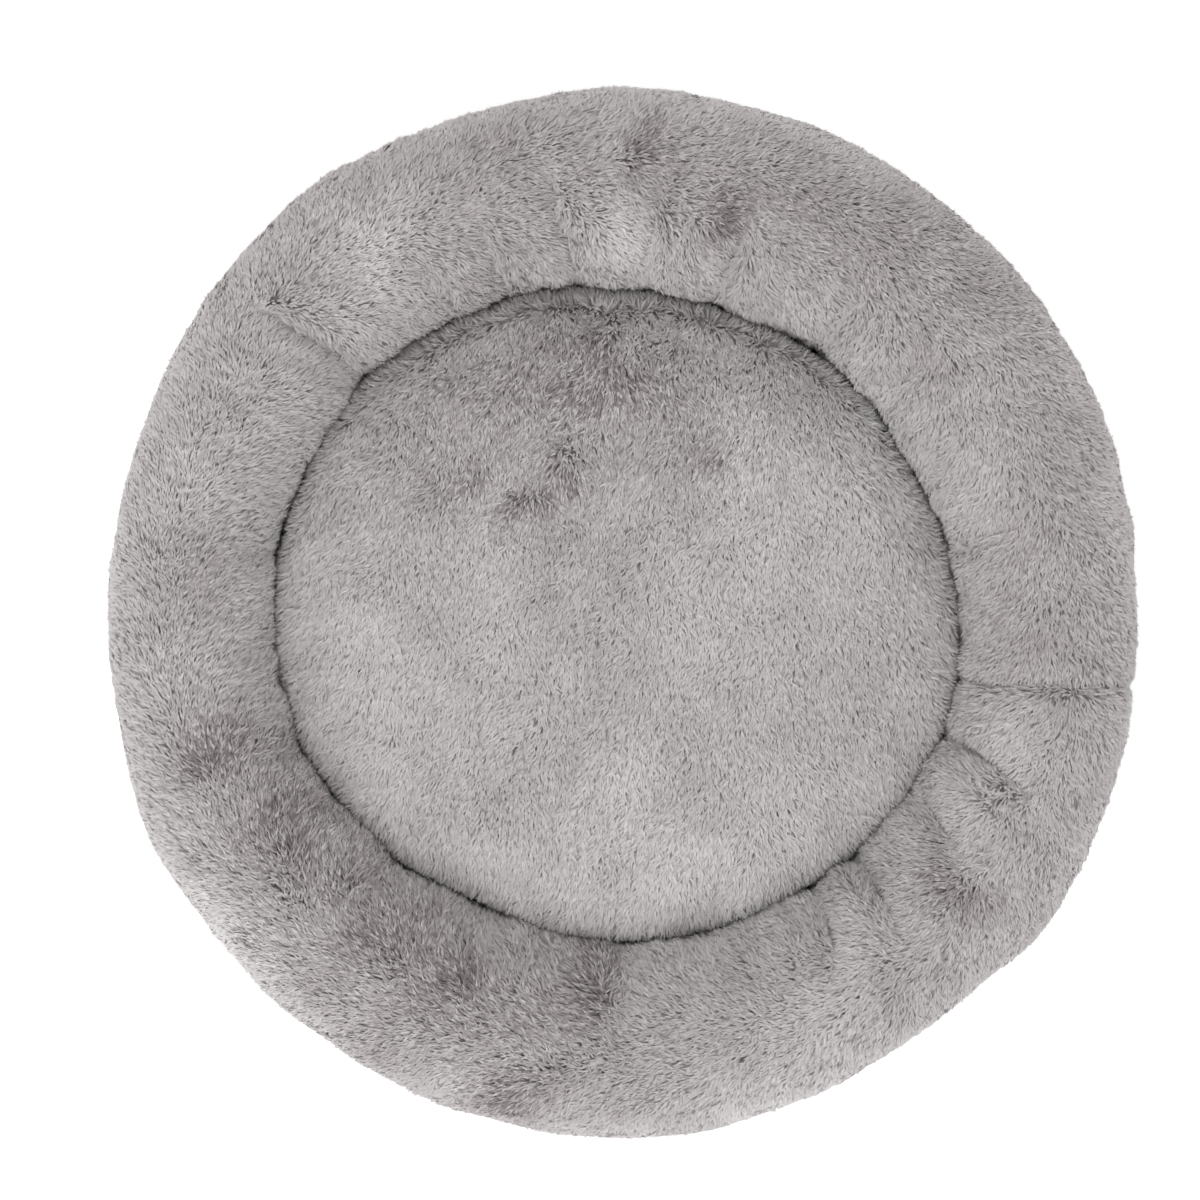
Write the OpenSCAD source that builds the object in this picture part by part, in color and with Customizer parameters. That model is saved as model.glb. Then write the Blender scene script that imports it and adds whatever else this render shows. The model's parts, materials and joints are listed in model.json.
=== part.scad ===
// Round pet bed: a stuffed plush ring on a flat base, with a loose boxed cushion in its well.
// +Z is up and z = 0 is the floor. The origin is the middle of the underside.
// +Y is the bed's rear, where the zip is.

/* [Bolster ring] */
// Diameter over the stuffed ring
bed_d = 600; // [580:5:640]
// Height of the ring's top above the floor
ring_h = 115; // [108:1:125]
// Width of the ring, from its outer bulge to the wall of the well
ring_w = 104; // [100:1:108]
// Height at which the ring bulges out the most
belly_z = 60; // [56:1:64]
// Thickness of the plush cloth with its pile
plush_t = 5; // [4:0.5:6]
// Direction of the join between the two ends of the ring's plush sleeve
join_angle = -10; // [-30:1:30]
// Width of a join's furrow in the plush
join_w = 3; // [2:0.5:4]
// Depth of a join's furrow below the plush
furrow = 1.5; // [0.5:0.5:2]
// How far a join's allowance reaches in from the plush
allowance = 6; // [4:1:8]

/* [Base] */
// How far the base's side band is set in from the ring's bulge
band_inset = 16; // [14:1:18]
// Height of the side band's top above the floor
band_top = 22; // [21:0.5:24]
// Thickness of the base cloth, the side band and the lining
cloth_t = 1.2; // [1:0.1:1.4]
// Thickness of the wadding inside the base
wadding_t = 5; // [4:1:6]
// Thickness of the seam around the well's floor
floor_seam_t = 0.9; // [0.6:0.1:1]
// Thickness of the binding around the base's edge
binding_t = 1.2; // [1:0.1:1.5]
// Height of the binding up the base's side
binding_h = 4; // [3.6:0.1:4.2]
// How far the binding turns in under the base
binding_w = 7; // [5:0.5:8]
// Diameter of a grip dot
dot_d = 6; // [4:1:8]
// Height of a grip dot
dot_h = 0.8; // [0.6:0.1:1]
// Distance between neighbouring grip dots
dot_pitch = 30; // [28:1:40]

/* [Zip] */
// Arc that the zip covers around the rear, in degrees
zip_arc = 64; // [56:1:70]
// Height of the window that the zip fills in the side band
window_h = 15; // [14:0.5:16]
// Width of the slit between the zip's two tapes
slit = 1.4; // [1.2:0.1:1.6]
// Thickness of a zip tape
tape_t = 0.8; // [0.6:0.1:0.9]
// Height of one row of the zip's coil
coil_h = 2.4; // [2.2:0.1:2.6]
// Thickness of the zip's coil, out from the tape
coil_t = 2.2; // [2:0.1:2.4]
// Arc that an end stop covers, in degrees
stop_arc = 1; // [0.8:0.1:1.2]
// Arc that the slider covers, in degrees
slider_arc = 2.6; // [2.4:0.1:3]
// Thickness of the slider's plates
plate_t = 1.3; // [1.2:0.1:1.4]
// Length of the pull tab
pull_l = 24; // [18:1:30]
// Height of the pull tab's broad end
pull_w = 7; // [6:0.5:8]

/* [Cushion] */
// Gap between the cushion and the wall of the well
side_gap = 1; // [0.6:0.1:2]
// Height of the cushion's side
gusset_h = 52; // [46:1:54]
// How far the top bulges up in the middle
crown = 14; // [10:1:18]
// How far the top's seam is set in from the side
seam_inset = 3.5; // [3:0.5:4]
// Direction of the join in the cushion's side
gusset_join_angle = 93; // [85:1:100]

/* [Hidden] */
$fn = 96;

// Running room between parts that move past each other
clear = 0.3;

// Ring
well_r = bed_d / 2 - ring_w;
ring_r = bed_d / 2 - ring_w / 2;
band_r = bed_d / 2 - band_inset;
half_w = ring_w / 2;
// Rise of the ring's underside that lets its curve meet the band's top
under_h = (belly_z - band_top) / sin(acos((band_r - ring_r) / half_w));

// Heights of the base's layers
cloth_z = dot_h;
wadding_z = cloth_z + cloth_t;
lining_z = wadding_z + wadding_t;
floor_z = lining_z + cloth_t;

// Zip, from the inside out
window_z = (binding_h + band_top) / 2;
zip_start = 90 - zip_arc / 2;
tape_r = band_r - cloth_t - tape_t;
coil_r = tape_r + tape_t;
front_r = coil_r + coil_t + clear;
back_r = tape_r - clear - plate_t;
tape_h = window_h / 2 + 1.5 - slit / 2;
chain_h = slit / 2 + coil_h;
lip_h = chain_h + 0.5;
slider_h = 2 * (lip_h + 1);
// The slider rests one step in from the zip's closed end
slider_start = zip_start + stop_arc + 2;
slider_mid = slider_start + slider_arc / 2;
pin_d = 1.6;
pin_r = front_r + plate_t + 2.4;
eye_d = 4;
lug_t = 1.2;
lug_w = 3;
eye_h = 4.6;
pull_t = 1.4;
neck_l = 4;

// Cushion
cushion_r = well_r - side_gap;
cushion_z = floor_z + clear;
gusset_z = cushion_z + cloth_t;
edge_z = gusset_z + gusset_h;
top_r = cushion_r - seam_inset;

// Points along part of an ellipse, turned from one angle to the other
function arc_points(cx, cy, rx, ry, from, to, steps) =
    [for (i = [0:steps]) let (t = from + (to - from) * i / steps) [cx + rx * cos(t), cy + ry * sin(t)]];

function reversed(points) = [for (i = [len(points) - 1:-1:0]) points[i]];

// The ring's outline in section, moved in by depth: up the well's wall, over the top and
// down the outside to the top of the side band
function ring_outline(depth) =
    let (
        wide = half_w - depth,
        high = ring_h - belly_z - depth,
        low = under_h - depth,
        last = -asin((belly_z - band_top) / low)
    )
    concat(
        [[well_r + depth, lining_z]],
        arc_points(ring_r, belly_z, wide, high, 180, 0, 36),
        [for (p = arc_points(ring_r, belly_z, wide, low, 0, last, 8)) if (p[1] < belly_z) p]
    );

// The cushion's top in section, moved in by depth, from its seam to the middle
function top_outline(depth) = arc_points(0, edge_z, top_r - depth, crown - depth, 0, 90, 16);

// A solid turned around the bed's axis
module turned(points) {
    rotate_extrude() polygon(points);
}

// A flat disc from one height up to another
module disc(radius, low, high) {
    translate([0, 0, low]) cylinder(r = radius, h = high - low);
}

// A full hoop with a rectangular section
module hoop(inner, outer, low, high) {
    rotate_extrude() translate([inner, low]) square([outer - inner, high - low]);
}

// Part of a hoop, from one direction over an arc
module hoop_arc(inner, outer, low, high, start, arc) {
    rotate([0, 0, start])
        rotate_extrude(angle = arc)
            translate([inner, low]) square([outer - inner, high - low]);
}

// A sheet that stands on a radius of the bed, with the given outline in section
module radial_sheet(points, angle, thickness) {
    rotate([0, 0, angle])
        translate([0, thickness / 2, 0])
            rotate([90, 0, 0])
                linear_extrude(thickness) polygon(points);
}

// A box-shaped slot on a radius of the bed, for a join
module join_slot(inner, outer, low, high, angle) {
    rotate([0, 0, angle])
        translate([inner, -join_w / 2, low])
            cube([outer - inner, join_w, high - low]);
}

module join_sheet() {
    radial_sheet(
        concat(ring_outline(furrow), reversed(ring_outline(plush_t + allowance))),
        join_angle, join_w
    );
}

module gusset_join_sheet() {
    radial_sheet(
        [
            [cushion_r - plush_t - allowance, gusset_z], [cushion_r - furrow, gusset_z],
            [cushion_r - furrow, edge_z], [cushion_r - plush_t - allowance, edge_z]
        ],
        gusset_join_angle, join_w
    );
}

// Ring: plush sleeve, its filling and the join of its two ends

module bolster_cover() {
    color([0.68, 0.66, 0.65])
        difference() {
            turned(concat(ring_outline(0), reversed(ring_outline(plush_t))));
            join_slot(well_r - 10, bed_d / 2 + 10, lining_z - 1, ring_h + 1, join_angle);
        }
}

module bolster_filling() {
    inner = ring_outline(plush_t);
    outer_edge = inner[len(inner) - 1];
    color([0.95, 0.95, 0.93])
        difference() {
            turned(concat(inner, [[outer_edge[0], lining_z]]));
            join_sheet();
        }
}

module bolster_join_seam() {
    color([0.5, 0.48, 0.47]) join_sheet();
}

// Base: the well's floor, wadding, cloth, side band and their edges

module well_floor() {
    color([0.6, 0.58, 0.57]) disc(well_r, lining_z, floor_z);
}

module well_floor_seam() {
    color([0.5, 0.48, 0.47]) hoop(well_r - 2, well_r, floor_z, floor_z + floor_seam_t);
}

module base_wadding() {
    color([0.95, 0.95, 0.93]) disc(back_r - 3, wadding_z, lining_z);
}

module base_cloth() {
    color([0.33, 0.33, 0.34]) disc(band_r, cloth_z, wadding_z);
}

module base_band() {
    color([0.36, 0.36, 0.37])
        difference() {
            hoop(band_r - cloth_t, band_r, wadding_z, band_top);
            hoop_arc(
                band_r - 4, band_r + 4, window_z - window_h / 2, window_z + window_h / 2,
                zip_start, zip_arc
            );
        }
}

module band_seam() {
    color([0.5, 0.48, 0.47]) hoop(band_r, band_r + 1, band_top - 1.2, band_top);
}

// A tape around the base's edge, which turns in under the cloth as thick as the dots are high
module base_binding() {
    color([0.42, 0.41, 0.41])
        turned([
            [band_r - binding_w, 0], [band_r + binding_t, 0], [band_r + binding_t, binding_h],
            [band_r, binding_h], [band_r, cloth_z], [band_r - binding_w, cloth_z]
        ]);
}

module grip_dots() {
    row_gap = dot_pitch * sin(60);
    dotted_r = band_r - dot_pitch / 2;
    rows = floor(dotted_r / row_gap);
    columns = ceil(dotted_r / dot_pitch);
    color([0.16, 0.16, 0.17])
        for (row = [-rows:rows], column = [-columns:columns]) {
            x = (column + (row % 2 == 0 ? 0 : 0.5)) * dot_pitch;
            y = row * row_gap;
            if (norm([x, y]) < dotted_r) translate([x, y, 0]) cylinder(d = dot_d, h = dot_h, $fn = 24);
        }
}

// Zip: two tapes behind the window, a row of coil on each, stops, slider and pull

module zip_tape(side) {
    low = side > 0 ? window_z + slit / 2 : window_z - slit / 2 - tape_h;
    color([0.4, 0.39, 0.39])
        hoop_arc(tape_r, tape_r + tape_t, low, low + tape_h, zip_start - 1, zip_arc + 2);
}

module zip_tape_upper() {
    zip_tape(1);
}

module zip_tape_lower() {
    zip_tape(-1);
}

module zip_coil(side) {
    low = side > 0 ? window_z + slit / 2 : window_z - slit / 2 - coil_h;
    color([0.3, 0.3, 0.31])
        hoop_arc(
            coil_r, coil_r + coil_t, low, low + coil_h, zip_start + stop_arc, zip_arc - 2 * stop_arc
        );
}

module zip_coil_upper() {
    zip_coil(1);
}

module zip_coil_lower() {
    zip_coil(-1);
}

module zip_end_stops() {
    color([0.62, 0.62, 0.63])
        for (start = [zip_start, zip_start + zip_arc - stop_arc])
            hoop_arc(
                coil_r, coil_r + coil_t, window_z - chain_h, window_z + chain_h, start, stop_arc
            );
}

// Two plates joined by a web in the slit, with lips beside the coil and lugs for the pull's pin
module zip_slider() {
    color([0.6, 0.6, 0.61]) {
        for (inner = [back_r, front_r])
            hoop_arc(
                inner, inner + plate_t, window_z - slider_h / 2, window_z + slider_h / 2,
                slider_start, slider_arc
            );
        hoop_arc(
            back_r + plate_t / 2, front_r + plate_t / 2, window_z - slit / 2 + clear,
            window_z + slit / 2 - clear, slider_start, slider_arc / 2
        );
        for (low = [window_z + lip_h, window_z - slider_h / 2])
            hoop_arc(
                coil_r + clear, front_r + plate_t / 2, low, low + slider_h / 2 - lip_h,
                slider_start, slider_arc
            );
        for (side = [-1, 1])
            rotate([0, 0, slider_mid])
                translate([front_r + plate_t / 2, -lug_w / 2, window_z + side * (eye_h / 2 + clear + lug_t / 2)])
                    translate([0, 0, -lug_t / 2])
                        cube([pin_r - front_r - plate_t / 2 + pin_d * 0.8, lug_w, lug_t]);
        rotate([0, 0, slider_mid])
            translate([pin_r, 0, window_z - eye_h / 2 - clear - lug_t / 2])
                cylinder(d = pin_d, h = eye_h + 2 * clear + lug_t);
    }
}

// An eye on the slider's pin, with a narrow neck and a broad round-ended tab
module zip_pull() {
    color([0.6, 0.6, 0.61])
        rotate([0, 0, slider_mid])
            translate([pin_r, 0, window_z])
                difference() {
                    union() {
                        cylinder(d = eye_d, h = eye_h, center = true);
                        translate([-pull_t / 2, 0, -eye_h / 2]) cube([pull_t, neck_l + 1, eye_h]);
                        translate([-pull_t / 2, neck_l, -pull_w / 2])
                            cube([pull_t, pull_l - neck_l - pull_w / 2, pull_w]);
                        translate([0, pull_l - pull_w / 2, 0])
                            rotate([0, 90, 0])
                                cylinder(d = pull_w, h = pull_t, center = true);
                    }
                    cylinder(d = pin_d + 0.2, h = eye_h + 1, center = true);
                    translate([0, pull_l - pull_w / 2, 0])
                        rotate([0, 90, 0])
                            cylinder(d = pull_w / 2, h = pull_t + 1, center = true);
                }
}

// Cushion: top, side and underside, their seams and the filling

module cushion_top() {
    color([0.7, 0.68, 0.67])
        turned(concat(top_outline(0), reversed(top_outline(plush_t))));
}

module cushion_gusset() {
    bottom_r = cushion_r - seam_inset;
    color([0.63, 0.61, 0.6])
        difference() {
            turned([
                [cushion_r - plush_t, gusset_z], [bottom_r, gusset_z], [cushion_r, gusset_z + 6],
                [cushion_r, edge_z], [top_r - plush_t, edge_z], [cushion_r - plush_t, edge_z - 6]
            ]);
            join_slot(cushion_r - 12, cushion_r + 2, gusset_z - 1, edge_z + 1, gusset_join_angle);
        }
}

module cushion_underside() {
    color([0.5, 0.49, 0.48]) disc(cushion_r - plush_t, cushion_z, gusset_z);
}

module cushion_filling() {
    inner = top_outline(plush_t);
    color([0.95, 0.95, 0.93])
        difference() {
            turned(concat(
                [[0, gusset_z], [cushion_r - plush_t, gusset_z], [cushion_r - plush_t, edge_z - 6]],
                inner
            ));
            gusset_join_sheet();
        }
}

module cushion_top_seam() {
    color([0.5, 0.48, 0.47]) hoop(top_r, cushion_r, edge_z, edge_z + 2.5);
}

module cushion_bottom_seam() {
    color([0.5, 0.48, 0.47])
        hoop(cushion_r - plush_t, cushion_r - seam_inset, cushion_z, gusset_z);
}

module gusset_join_seam() {
    color([0.5, 0.48, 0.47]) gusset_join_sheet();
}

bolster_cover();
bolster_filling();
bolster_join_seam();
well_floor();
well_floor_seam();
base_wadding();
base_cloth();
base_band();
band_seam();
base_binding();
grip_dots();
zip_tape_upper();
zip_tape_lower();
zip_coil_upper();
zip_coil_lower();
zip_end_stops();
zip_slider();
zip_pull();
cushion_top();
cushion_gusset();
cushion_underside();
cushion_filling();
cushion_top_seam();
cushion_bottom_seam();
gusset_join_seam();
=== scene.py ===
"""Looks of a round plush pet bed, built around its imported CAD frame.

A stuffed ring in short plush stands on a flat base. A loose boxed cushion lies in its well.
All sizes are in metres, in the frame of the CAD part: +Z is up and +Y is the bed's rear.
"""

from __future__ import annotations

import json
import logging
import math
from dataclasses import dataclass, field
from enum import Enum
from typing import Any

import bpy
import numpy as np
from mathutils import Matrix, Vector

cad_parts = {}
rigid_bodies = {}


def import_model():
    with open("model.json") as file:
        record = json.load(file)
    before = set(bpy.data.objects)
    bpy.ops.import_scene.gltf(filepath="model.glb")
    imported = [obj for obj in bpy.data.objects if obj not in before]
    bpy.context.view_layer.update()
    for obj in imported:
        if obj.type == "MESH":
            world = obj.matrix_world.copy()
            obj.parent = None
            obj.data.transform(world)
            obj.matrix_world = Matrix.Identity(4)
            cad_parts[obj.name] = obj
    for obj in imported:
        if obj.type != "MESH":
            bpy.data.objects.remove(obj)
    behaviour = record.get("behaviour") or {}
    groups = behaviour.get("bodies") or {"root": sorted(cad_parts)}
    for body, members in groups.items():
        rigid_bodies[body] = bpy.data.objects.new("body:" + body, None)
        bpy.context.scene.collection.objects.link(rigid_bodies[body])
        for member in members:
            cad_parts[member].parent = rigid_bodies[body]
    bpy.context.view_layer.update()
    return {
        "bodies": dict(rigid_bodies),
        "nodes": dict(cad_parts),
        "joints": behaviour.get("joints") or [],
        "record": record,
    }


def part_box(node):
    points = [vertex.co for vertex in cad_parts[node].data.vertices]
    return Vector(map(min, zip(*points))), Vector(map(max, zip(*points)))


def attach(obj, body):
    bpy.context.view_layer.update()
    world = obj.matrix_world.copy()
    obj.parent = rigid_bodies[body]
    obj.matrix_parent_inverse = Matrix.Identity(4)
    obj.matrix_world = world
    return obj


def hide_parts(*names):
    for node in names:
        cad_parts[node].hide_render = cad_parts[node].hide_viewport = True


log = logging.getLogger("pet_bed")

MM = 0.001
Points = np.ndarray

# The side band's nominal radius, which patterns that run round the bed are scaled to
BAND_RADIUS = 0.284

# What the pile reads off a soft piece's vertices
PILE_READS = ("nap", "pile_cover", "pile_length", "shade", "unrest")


def smoothstep(low: float, high: float, value: Points) -> Points:
    """Rises smoothly from 0 at low to 1 at high."""
    t = np.clip((value - low) / (high - low), 0.0, 1.0)
    return t * t * (3.0 - 2.0 * t)


def around(knots: list[tuple[float, float]], directions: Points) -> Points:
    """Reads a closed outline between its knots, smoothly.

    Args:
        knots: pairs of a direction in degrees and a value there.
        directions: directions in degrees, of any turn.

    Returns:
        The value at each direction.
    """
    angles = np.array([k[0] for k in knots], float)
    values = np.array([k[1] for k in knots], float)
    order = np.argsort(angles)
    angles, values = angles[order], values[order]
    start = angles[0]
    wrapped = (np.asarray(directions, float) - start) % 360.0 + start
    xs = np.concatenate([angles[-2:] - 360.0, angles, angles[:3] + 360.0])
    ys = np.concatenate([values[-2:], values, values[:3]])
    i = np.clip(np.searchsorted(xs, wrapped, side="right") - 1, 1, len(xs) - 3)
    x0, x1 = xs[i], xs[i + 1]
    t = (wrapped - x0) / (x1 - x0)
    m0 = (ys[i + 1] - ys[i - 1]) / (xs[i + 1] - xs[i - 1]) * (x1 - x0)
    m1 = (ys[i + 2] - ys[i]) / (xs[i + 2] - xs[i]) * (x1 - x0)
    t2, t3 = t * t, t * t * t
    return (
        (2 * t3 - 3 * t2 + 1) * ys[i] + (t3 - 2 * t2 + t) * m0
        + (-2 * t3 + 3 * t2) * ys[i + 1] + (t3 - t2) * m1
    )


def turn_between(a: Points, b: float) -> Points:
    """The signed difference between directions a and b, in degrees."""
    return (a - b + 180.0) % 360.0 - 180.0


def lattice_noise(points: Points, size: float, seed: int) -> Points:
    """Smooth value noise between -1 and 1.

    Args:
        points: places, one row each.
        size: distance between the noise's knots.
        seed: picks the pattern.

    Returns:
        One value for each place.
    """
    cells = 32
    table = np.random.default_rng(seed).uniform(-1.0, 1.0, (cells, cells, cells))
    p = points / size
    base = np.floor(p).astype(int)
    f = p - base
    f = f * f * (3.0 - 2.0 * f)
    total = np.zeros(len(points))
    for corner in np.ndindex(2, 2, 2):
        c = np.array(corner)
        index = (base + c) % cells
        weight = np.prod(np.where(c == 1, f, 1.0 - f), axis=1)
        total += weight * table[index[:, 0], index[:, 1], index[:, 2]]
    return total


def polar(points: Points) -> tuple[Points, Points]:
    """Each place's distance from the bed's axis, and its direction in degrees."""
    return np.linalg.norm(points[:, :2], axis=1), np.degrees(np.arctan2(points[:, 1], points[:, 0]))


def turned_places(radius: Points, height: Points, angle: Points) -> Points:
    """The places at a radius and a height in each direction, given in radians, one row each."""
    return np.stack([radius * np.cos(angle), radius * np.sin(angle), height], 2).reshape(-1, 3)


def downhill(normals: Points) -> Points:
    """The way down along the skin at each vertex."""
    return normals * normals[:, 2:3] - np.array([0.0, 0.0, 1.0])


@dataclass(frozen=True)
class BedSizes:
    """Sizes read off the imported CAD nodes, in metres.

    Attributes:
        ring_top: height of the ring's top.
        band_radius: radius of the side band's outer face.
        band_top: height of the side band's upper edge.
        well_radius: radius of the well's floor.
        floor: height of the well's floor.
        cushion_radius: radius of the cushion.
        cushion_low: height of the cushion's underside.
        cushion_edge: height of the seam round the cushion's top.
    """

    ring_top: float
    band_radius: float
    band_top: float
    well_radius: float
    floor: float
    cushion_radius: float
    cushion_low: float
    cushion_edge: float

    @classmethod
    def read(cls) -> BedSizes:
        """Reads the sizes from the frame.

        Returns:
            The sizes.
        """
        band, lining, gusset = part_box("base_band"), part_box("well_floor"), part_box("cushion_gusset")
        return cls(
            ring_top=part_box("bolster_cover")[1].z,
            band_radius=(band[1].x - band[0].x) / 2,
            band_top=band[1].z,
            well_radius=(lining[1].x - lining[0].x) / 2,
            floor=lining[1].z,
            cushion_radius=(gusset[1].x - gusset[0].x) / 2,
            cushion_low=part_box("cushion_underside")[0].z,
            cushion_edge=gusset[1].z,
        )


class Nodes:
    """Adds and links nodes in one tree."""

    def __init__(self, tree: bpy.types.NodeTree) -> None:
        """Wraps the given tree."""
        self.tree = tree

    def add(self, kind: str, inputs: dict[Any, Any] | None = None, **settings: Any) -> Any:
        """Adds a node.

        Args:
            kind: the node's type name.
            inputs: a value or a source socket for each input's name or number.
            settings: the node's own properties.

        Returns:
            The new node.
        """
        node = self.tree.nodes.new(kind)
        for name, value in settings.items():
            setattr(node, name, value)
        for key, value in (inputs or {}).items():
            socket = node.inputs[key]
            if isinstance(value, bpy.types.NodeSocket):
                self.tree.links.new(value, socket)
            else:
                socket.default_value = value
        return node

    def math(self, operation: str, *values: Any) -> bpy.types.NodeSocket:
        """Adds a Math node on the given numbers or sockets, and returns its output."""
        node = self.add("ShaderNodeMath", dict(enumerate(values)), operation=operation)
        return node.outputs[0]

    def vector(self, operation: str, *values: Any) -> bpy.types.NodeSocket:
        """Adds a Vector Math node, and returns its vector output."""
        node = self.add("ShaderNodeVectorMath", dict(enumerate(values)), operation=operation)
        return node.outputs[0]

    def scaled(self, vector: bpy.types.NodeSocket, factor: Any) -> bpy.types.NodeSocket:
        """Scales a vector by a number or a socket."""
        node = self.add("ShaderNodeVectorMath", {0: vector, "Scale": factor}, operation="SCALE")
        return node.outputs[0]


def geometry_tree(
    name: str, inputs: tuple[tuple[str, str, Any], ...]
) -> tuple[bpy.types.NodeTree, Nodes, Any]:
    """Starts a Geometry Nodes tree.

    Args:
        name: the tree's name.
        inputs: name, kind of socket and value of each input after the geometry.

    Returns:
        The tree, its node maker and its input sockets.
    """
    tree = bpy.data.node_groups.new(name, "GeometryNodeTree")
    for label, kind, value in (("Geometry", "Geometry", None), *inputs):
        socket = tree.interface.new_socket(label, in_out="INPUT", socket_type=f"NodeSocket{kind}")
        if value is not None:
            socket.default_value = value
    tree.interface.new_socket("Geometry", in_out="OUTPUT", socket_type="NodeSocketGeometry")
    n = Nodes(tree)
    return tree, n, n.add("NodeGroupInput").outputs


def new_mesh(name: str, points: Points, faces: list[Any]) -> bpy.types.Object:
    """Makes a mesh object in the scene from points and faces."""
    mesh = bpy.data.meshes.new(name)
    mesh.from_pydata(points.tolist(), [], faces)
    mesh.update()
    piece = bpy.data.objects.new(name, mesh)
    bpy.context.scene.collection.objects.link(piece)
    return piece


def coordinates(mesh: bpy.types.Mesh) -> Points:
    """The mesh's vertex places, one row each."""
    flat = np.empty(len(mesh.vertices) * 3, np.float32)
    mesh.vertices.foreach_get("co", flat)
    return flat.reshape(-1, 3).astype(float)


def vertex_normals(mesh: bpy.types.Mesh) -> Points:
    """The mesh's vertex normals, one row each."""
    flat = np.empty(len(mesh.vertices) * 3, np.float32)
    mesh.vertex_normals.foreach_get("vector", flat)
    return flat.reshape(-1, 3).astype(float)


def set_coordinates(mesh: bpy.types.Mesh, points: Points) -> None:
    """Moves the mesh's vertices to the given places."""
    mesh.vertices.foreach_set("co", points.astype(np.float32).ravel())
    mesh.update()


def store(mesh: bpy.types.Mesh, name: str, values: Points) -> None:
    """Keeps a number or a vector on each vertex under a name."""
    kind, key = ("FLOAT_VECTOR", "vector") if values.ndim == 2 else ("FLOAT", "value")
    attribute = mesh.attributes.get(name) or mesh.attributes.new(name, kind, "POINT")
    attribute.data.foreach_set(key, values.astype(np.float32).ravel())


def forget(mesh: bpy.types.Mesh, names: tuple[str, ...]) -> None:
    """Removes the attributes with the given names."""
    for name in names:
        if name in mesh.attributes:
            mesh.attributes.remove(mesh.attributes[name])


def shade_smooth(piece: bpy.types.Object) -> None:
    """Shades every face of the piece smoothly."""
    piece.data.polygons.foreach_set("use_smooth", [True] * len(piece.data.polygons))
    piece.data.update()


def apply_modifiers(piece: bpy.types.Object) -> None:
    """Turns the piece's modifiers into its mesh.

    Args:
        piece: the piece, which keeps no modifier.
    """
    graph = bpy.context.evaluated_depsgraph_get()
    graph.update()
    evaluated = piece.evaluated_get(graph)
    made = bpy.data.meshes.new_from_object(evaluated, preserve_all_data_layers=True, depsgraph=graph)
    old = piece.data
    piece.modifiers.clear()
    piece.data = made
    bpy.data.meshes.remove(old)


def run_tree(piece: bpy.types.Object, tree: bpy.types.NodeTree, values: dict[str, Any]) -> None:
    """Runs a Geometry Nodes tree on a piece and applies it.

    Args:
        piece: the piece, changed in place.
        tree: the tree.
        values: the value of each input that differs from the tree's own.
    """
    identifiers = {
        item.name: item.identifier for item in tree.interface.items_tree if item.in_out == "INPUT"
    }
    modifier = piece.modifiers.new("nodes", "NODES")
    modifier.node_group = tree
    for name, value in values.items():
        modifier[identifiers[name]] = value
    apply_modifiers(piece)


def subdivide(piece: bpy.types.Object, levels: int) -> None:
    """Smooths the piece with a subdivision surface and applies it."""
    modifier = piece.modifiers.new("smooth", "SUBSURF")
    modifier.levels = levels
    modifier.render_levels = levels
    apply_modifiers(piece)


# ---------------------------------------------------------------------------------------------
# Soft bodies


@dataclass(frozen=True)
class ClothSettings:
    """How a padded piece is blown up."""

    pressure: float = 4.0
    frames: int = 20
    stiffness: float = 12.0
    bending: float = 0.4
    cap: float = 8 * MM


def inflate(
    piece: bpy.types.Object, held: Points, settings: ClothSettings, cut: Points | None = None
) -> None:
    """Blows up a closed cloth mesh and keeps the result, with each vertex's move capped.

    Args:
        piece: a closed mesh, changed in place.
        held: how firmly each vertex is sewn down, from 0 to 1.
        settings: pressure, stiffness, length of the run and cap.
        cut: where each vertex would lie in the cloth's cut shape, if that isn't its own place.
    """
    before = coordinates(piece.data)
    group = piece.vertex_groups.new(name="sewn")
    for index in np.flatnonzero(held > 0):
        group.add([int(index)], float(held[index]), "REPLACE")
    modifier = piece.modifiers.new("cloth", "CLOTH")
    cloth = modifier.settings
    cloth.quality = 5
    cloth.mass = 0.3
    cloth.tension_stiffness = settings.stiffness
    cloth.compression_stiffness = settings.stiffness
    cloth.shear_stiffness = settings.stiffness / 2
    cloth.bending_stiffness = settings.bending
    cloth.use_pressure = True
    cloth.uniform_pressure_force = settings.pressure
    cloth.vertex_group_mass = group.name
    cloth.effector_weights.gravity = 0.0
    if cut is not None:
        piece.shape_key_add(name="Basis")
        key = piece.shape_key_add(name="cut")
        key.data.foreach_set("co", cut.astype(np.float32).ravel())
        key.value = 0.0
        cloth.rest_shape_key = key
    scene = bpy.context.scene
    scene.frame_start, scene.frame_end = 1, settings.frames
    modifier.point_cache.frame_start, modifier.point_cache.frame_end = 1, settings.frames
    for frame in range(1, settings.frames + 1):
        scene.frame_set(frame)
    graph = bpy.context.evaluated_depsgraph_get()
    after = coordinates(piece.evaluated_get(graph).data)
    piece.modifiers.clear()
    if cut is not None:
        piece.shape_key_clear()
    piece.vertex_groups.clear()
    scene.frame_set(1)
    move = after - before
    length = np.maximum(np.linalg.norm(move, axis=1), 1e-9)
    capped = settings.cap * np.tanh(length / settings.cap)
    set_coordinates(piece.data, before + move * (capped / length)[:, None])
    log.info("inflated %s, mean move %.1f mm", piece.name, 1000 * float(length.mean()))


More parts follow.
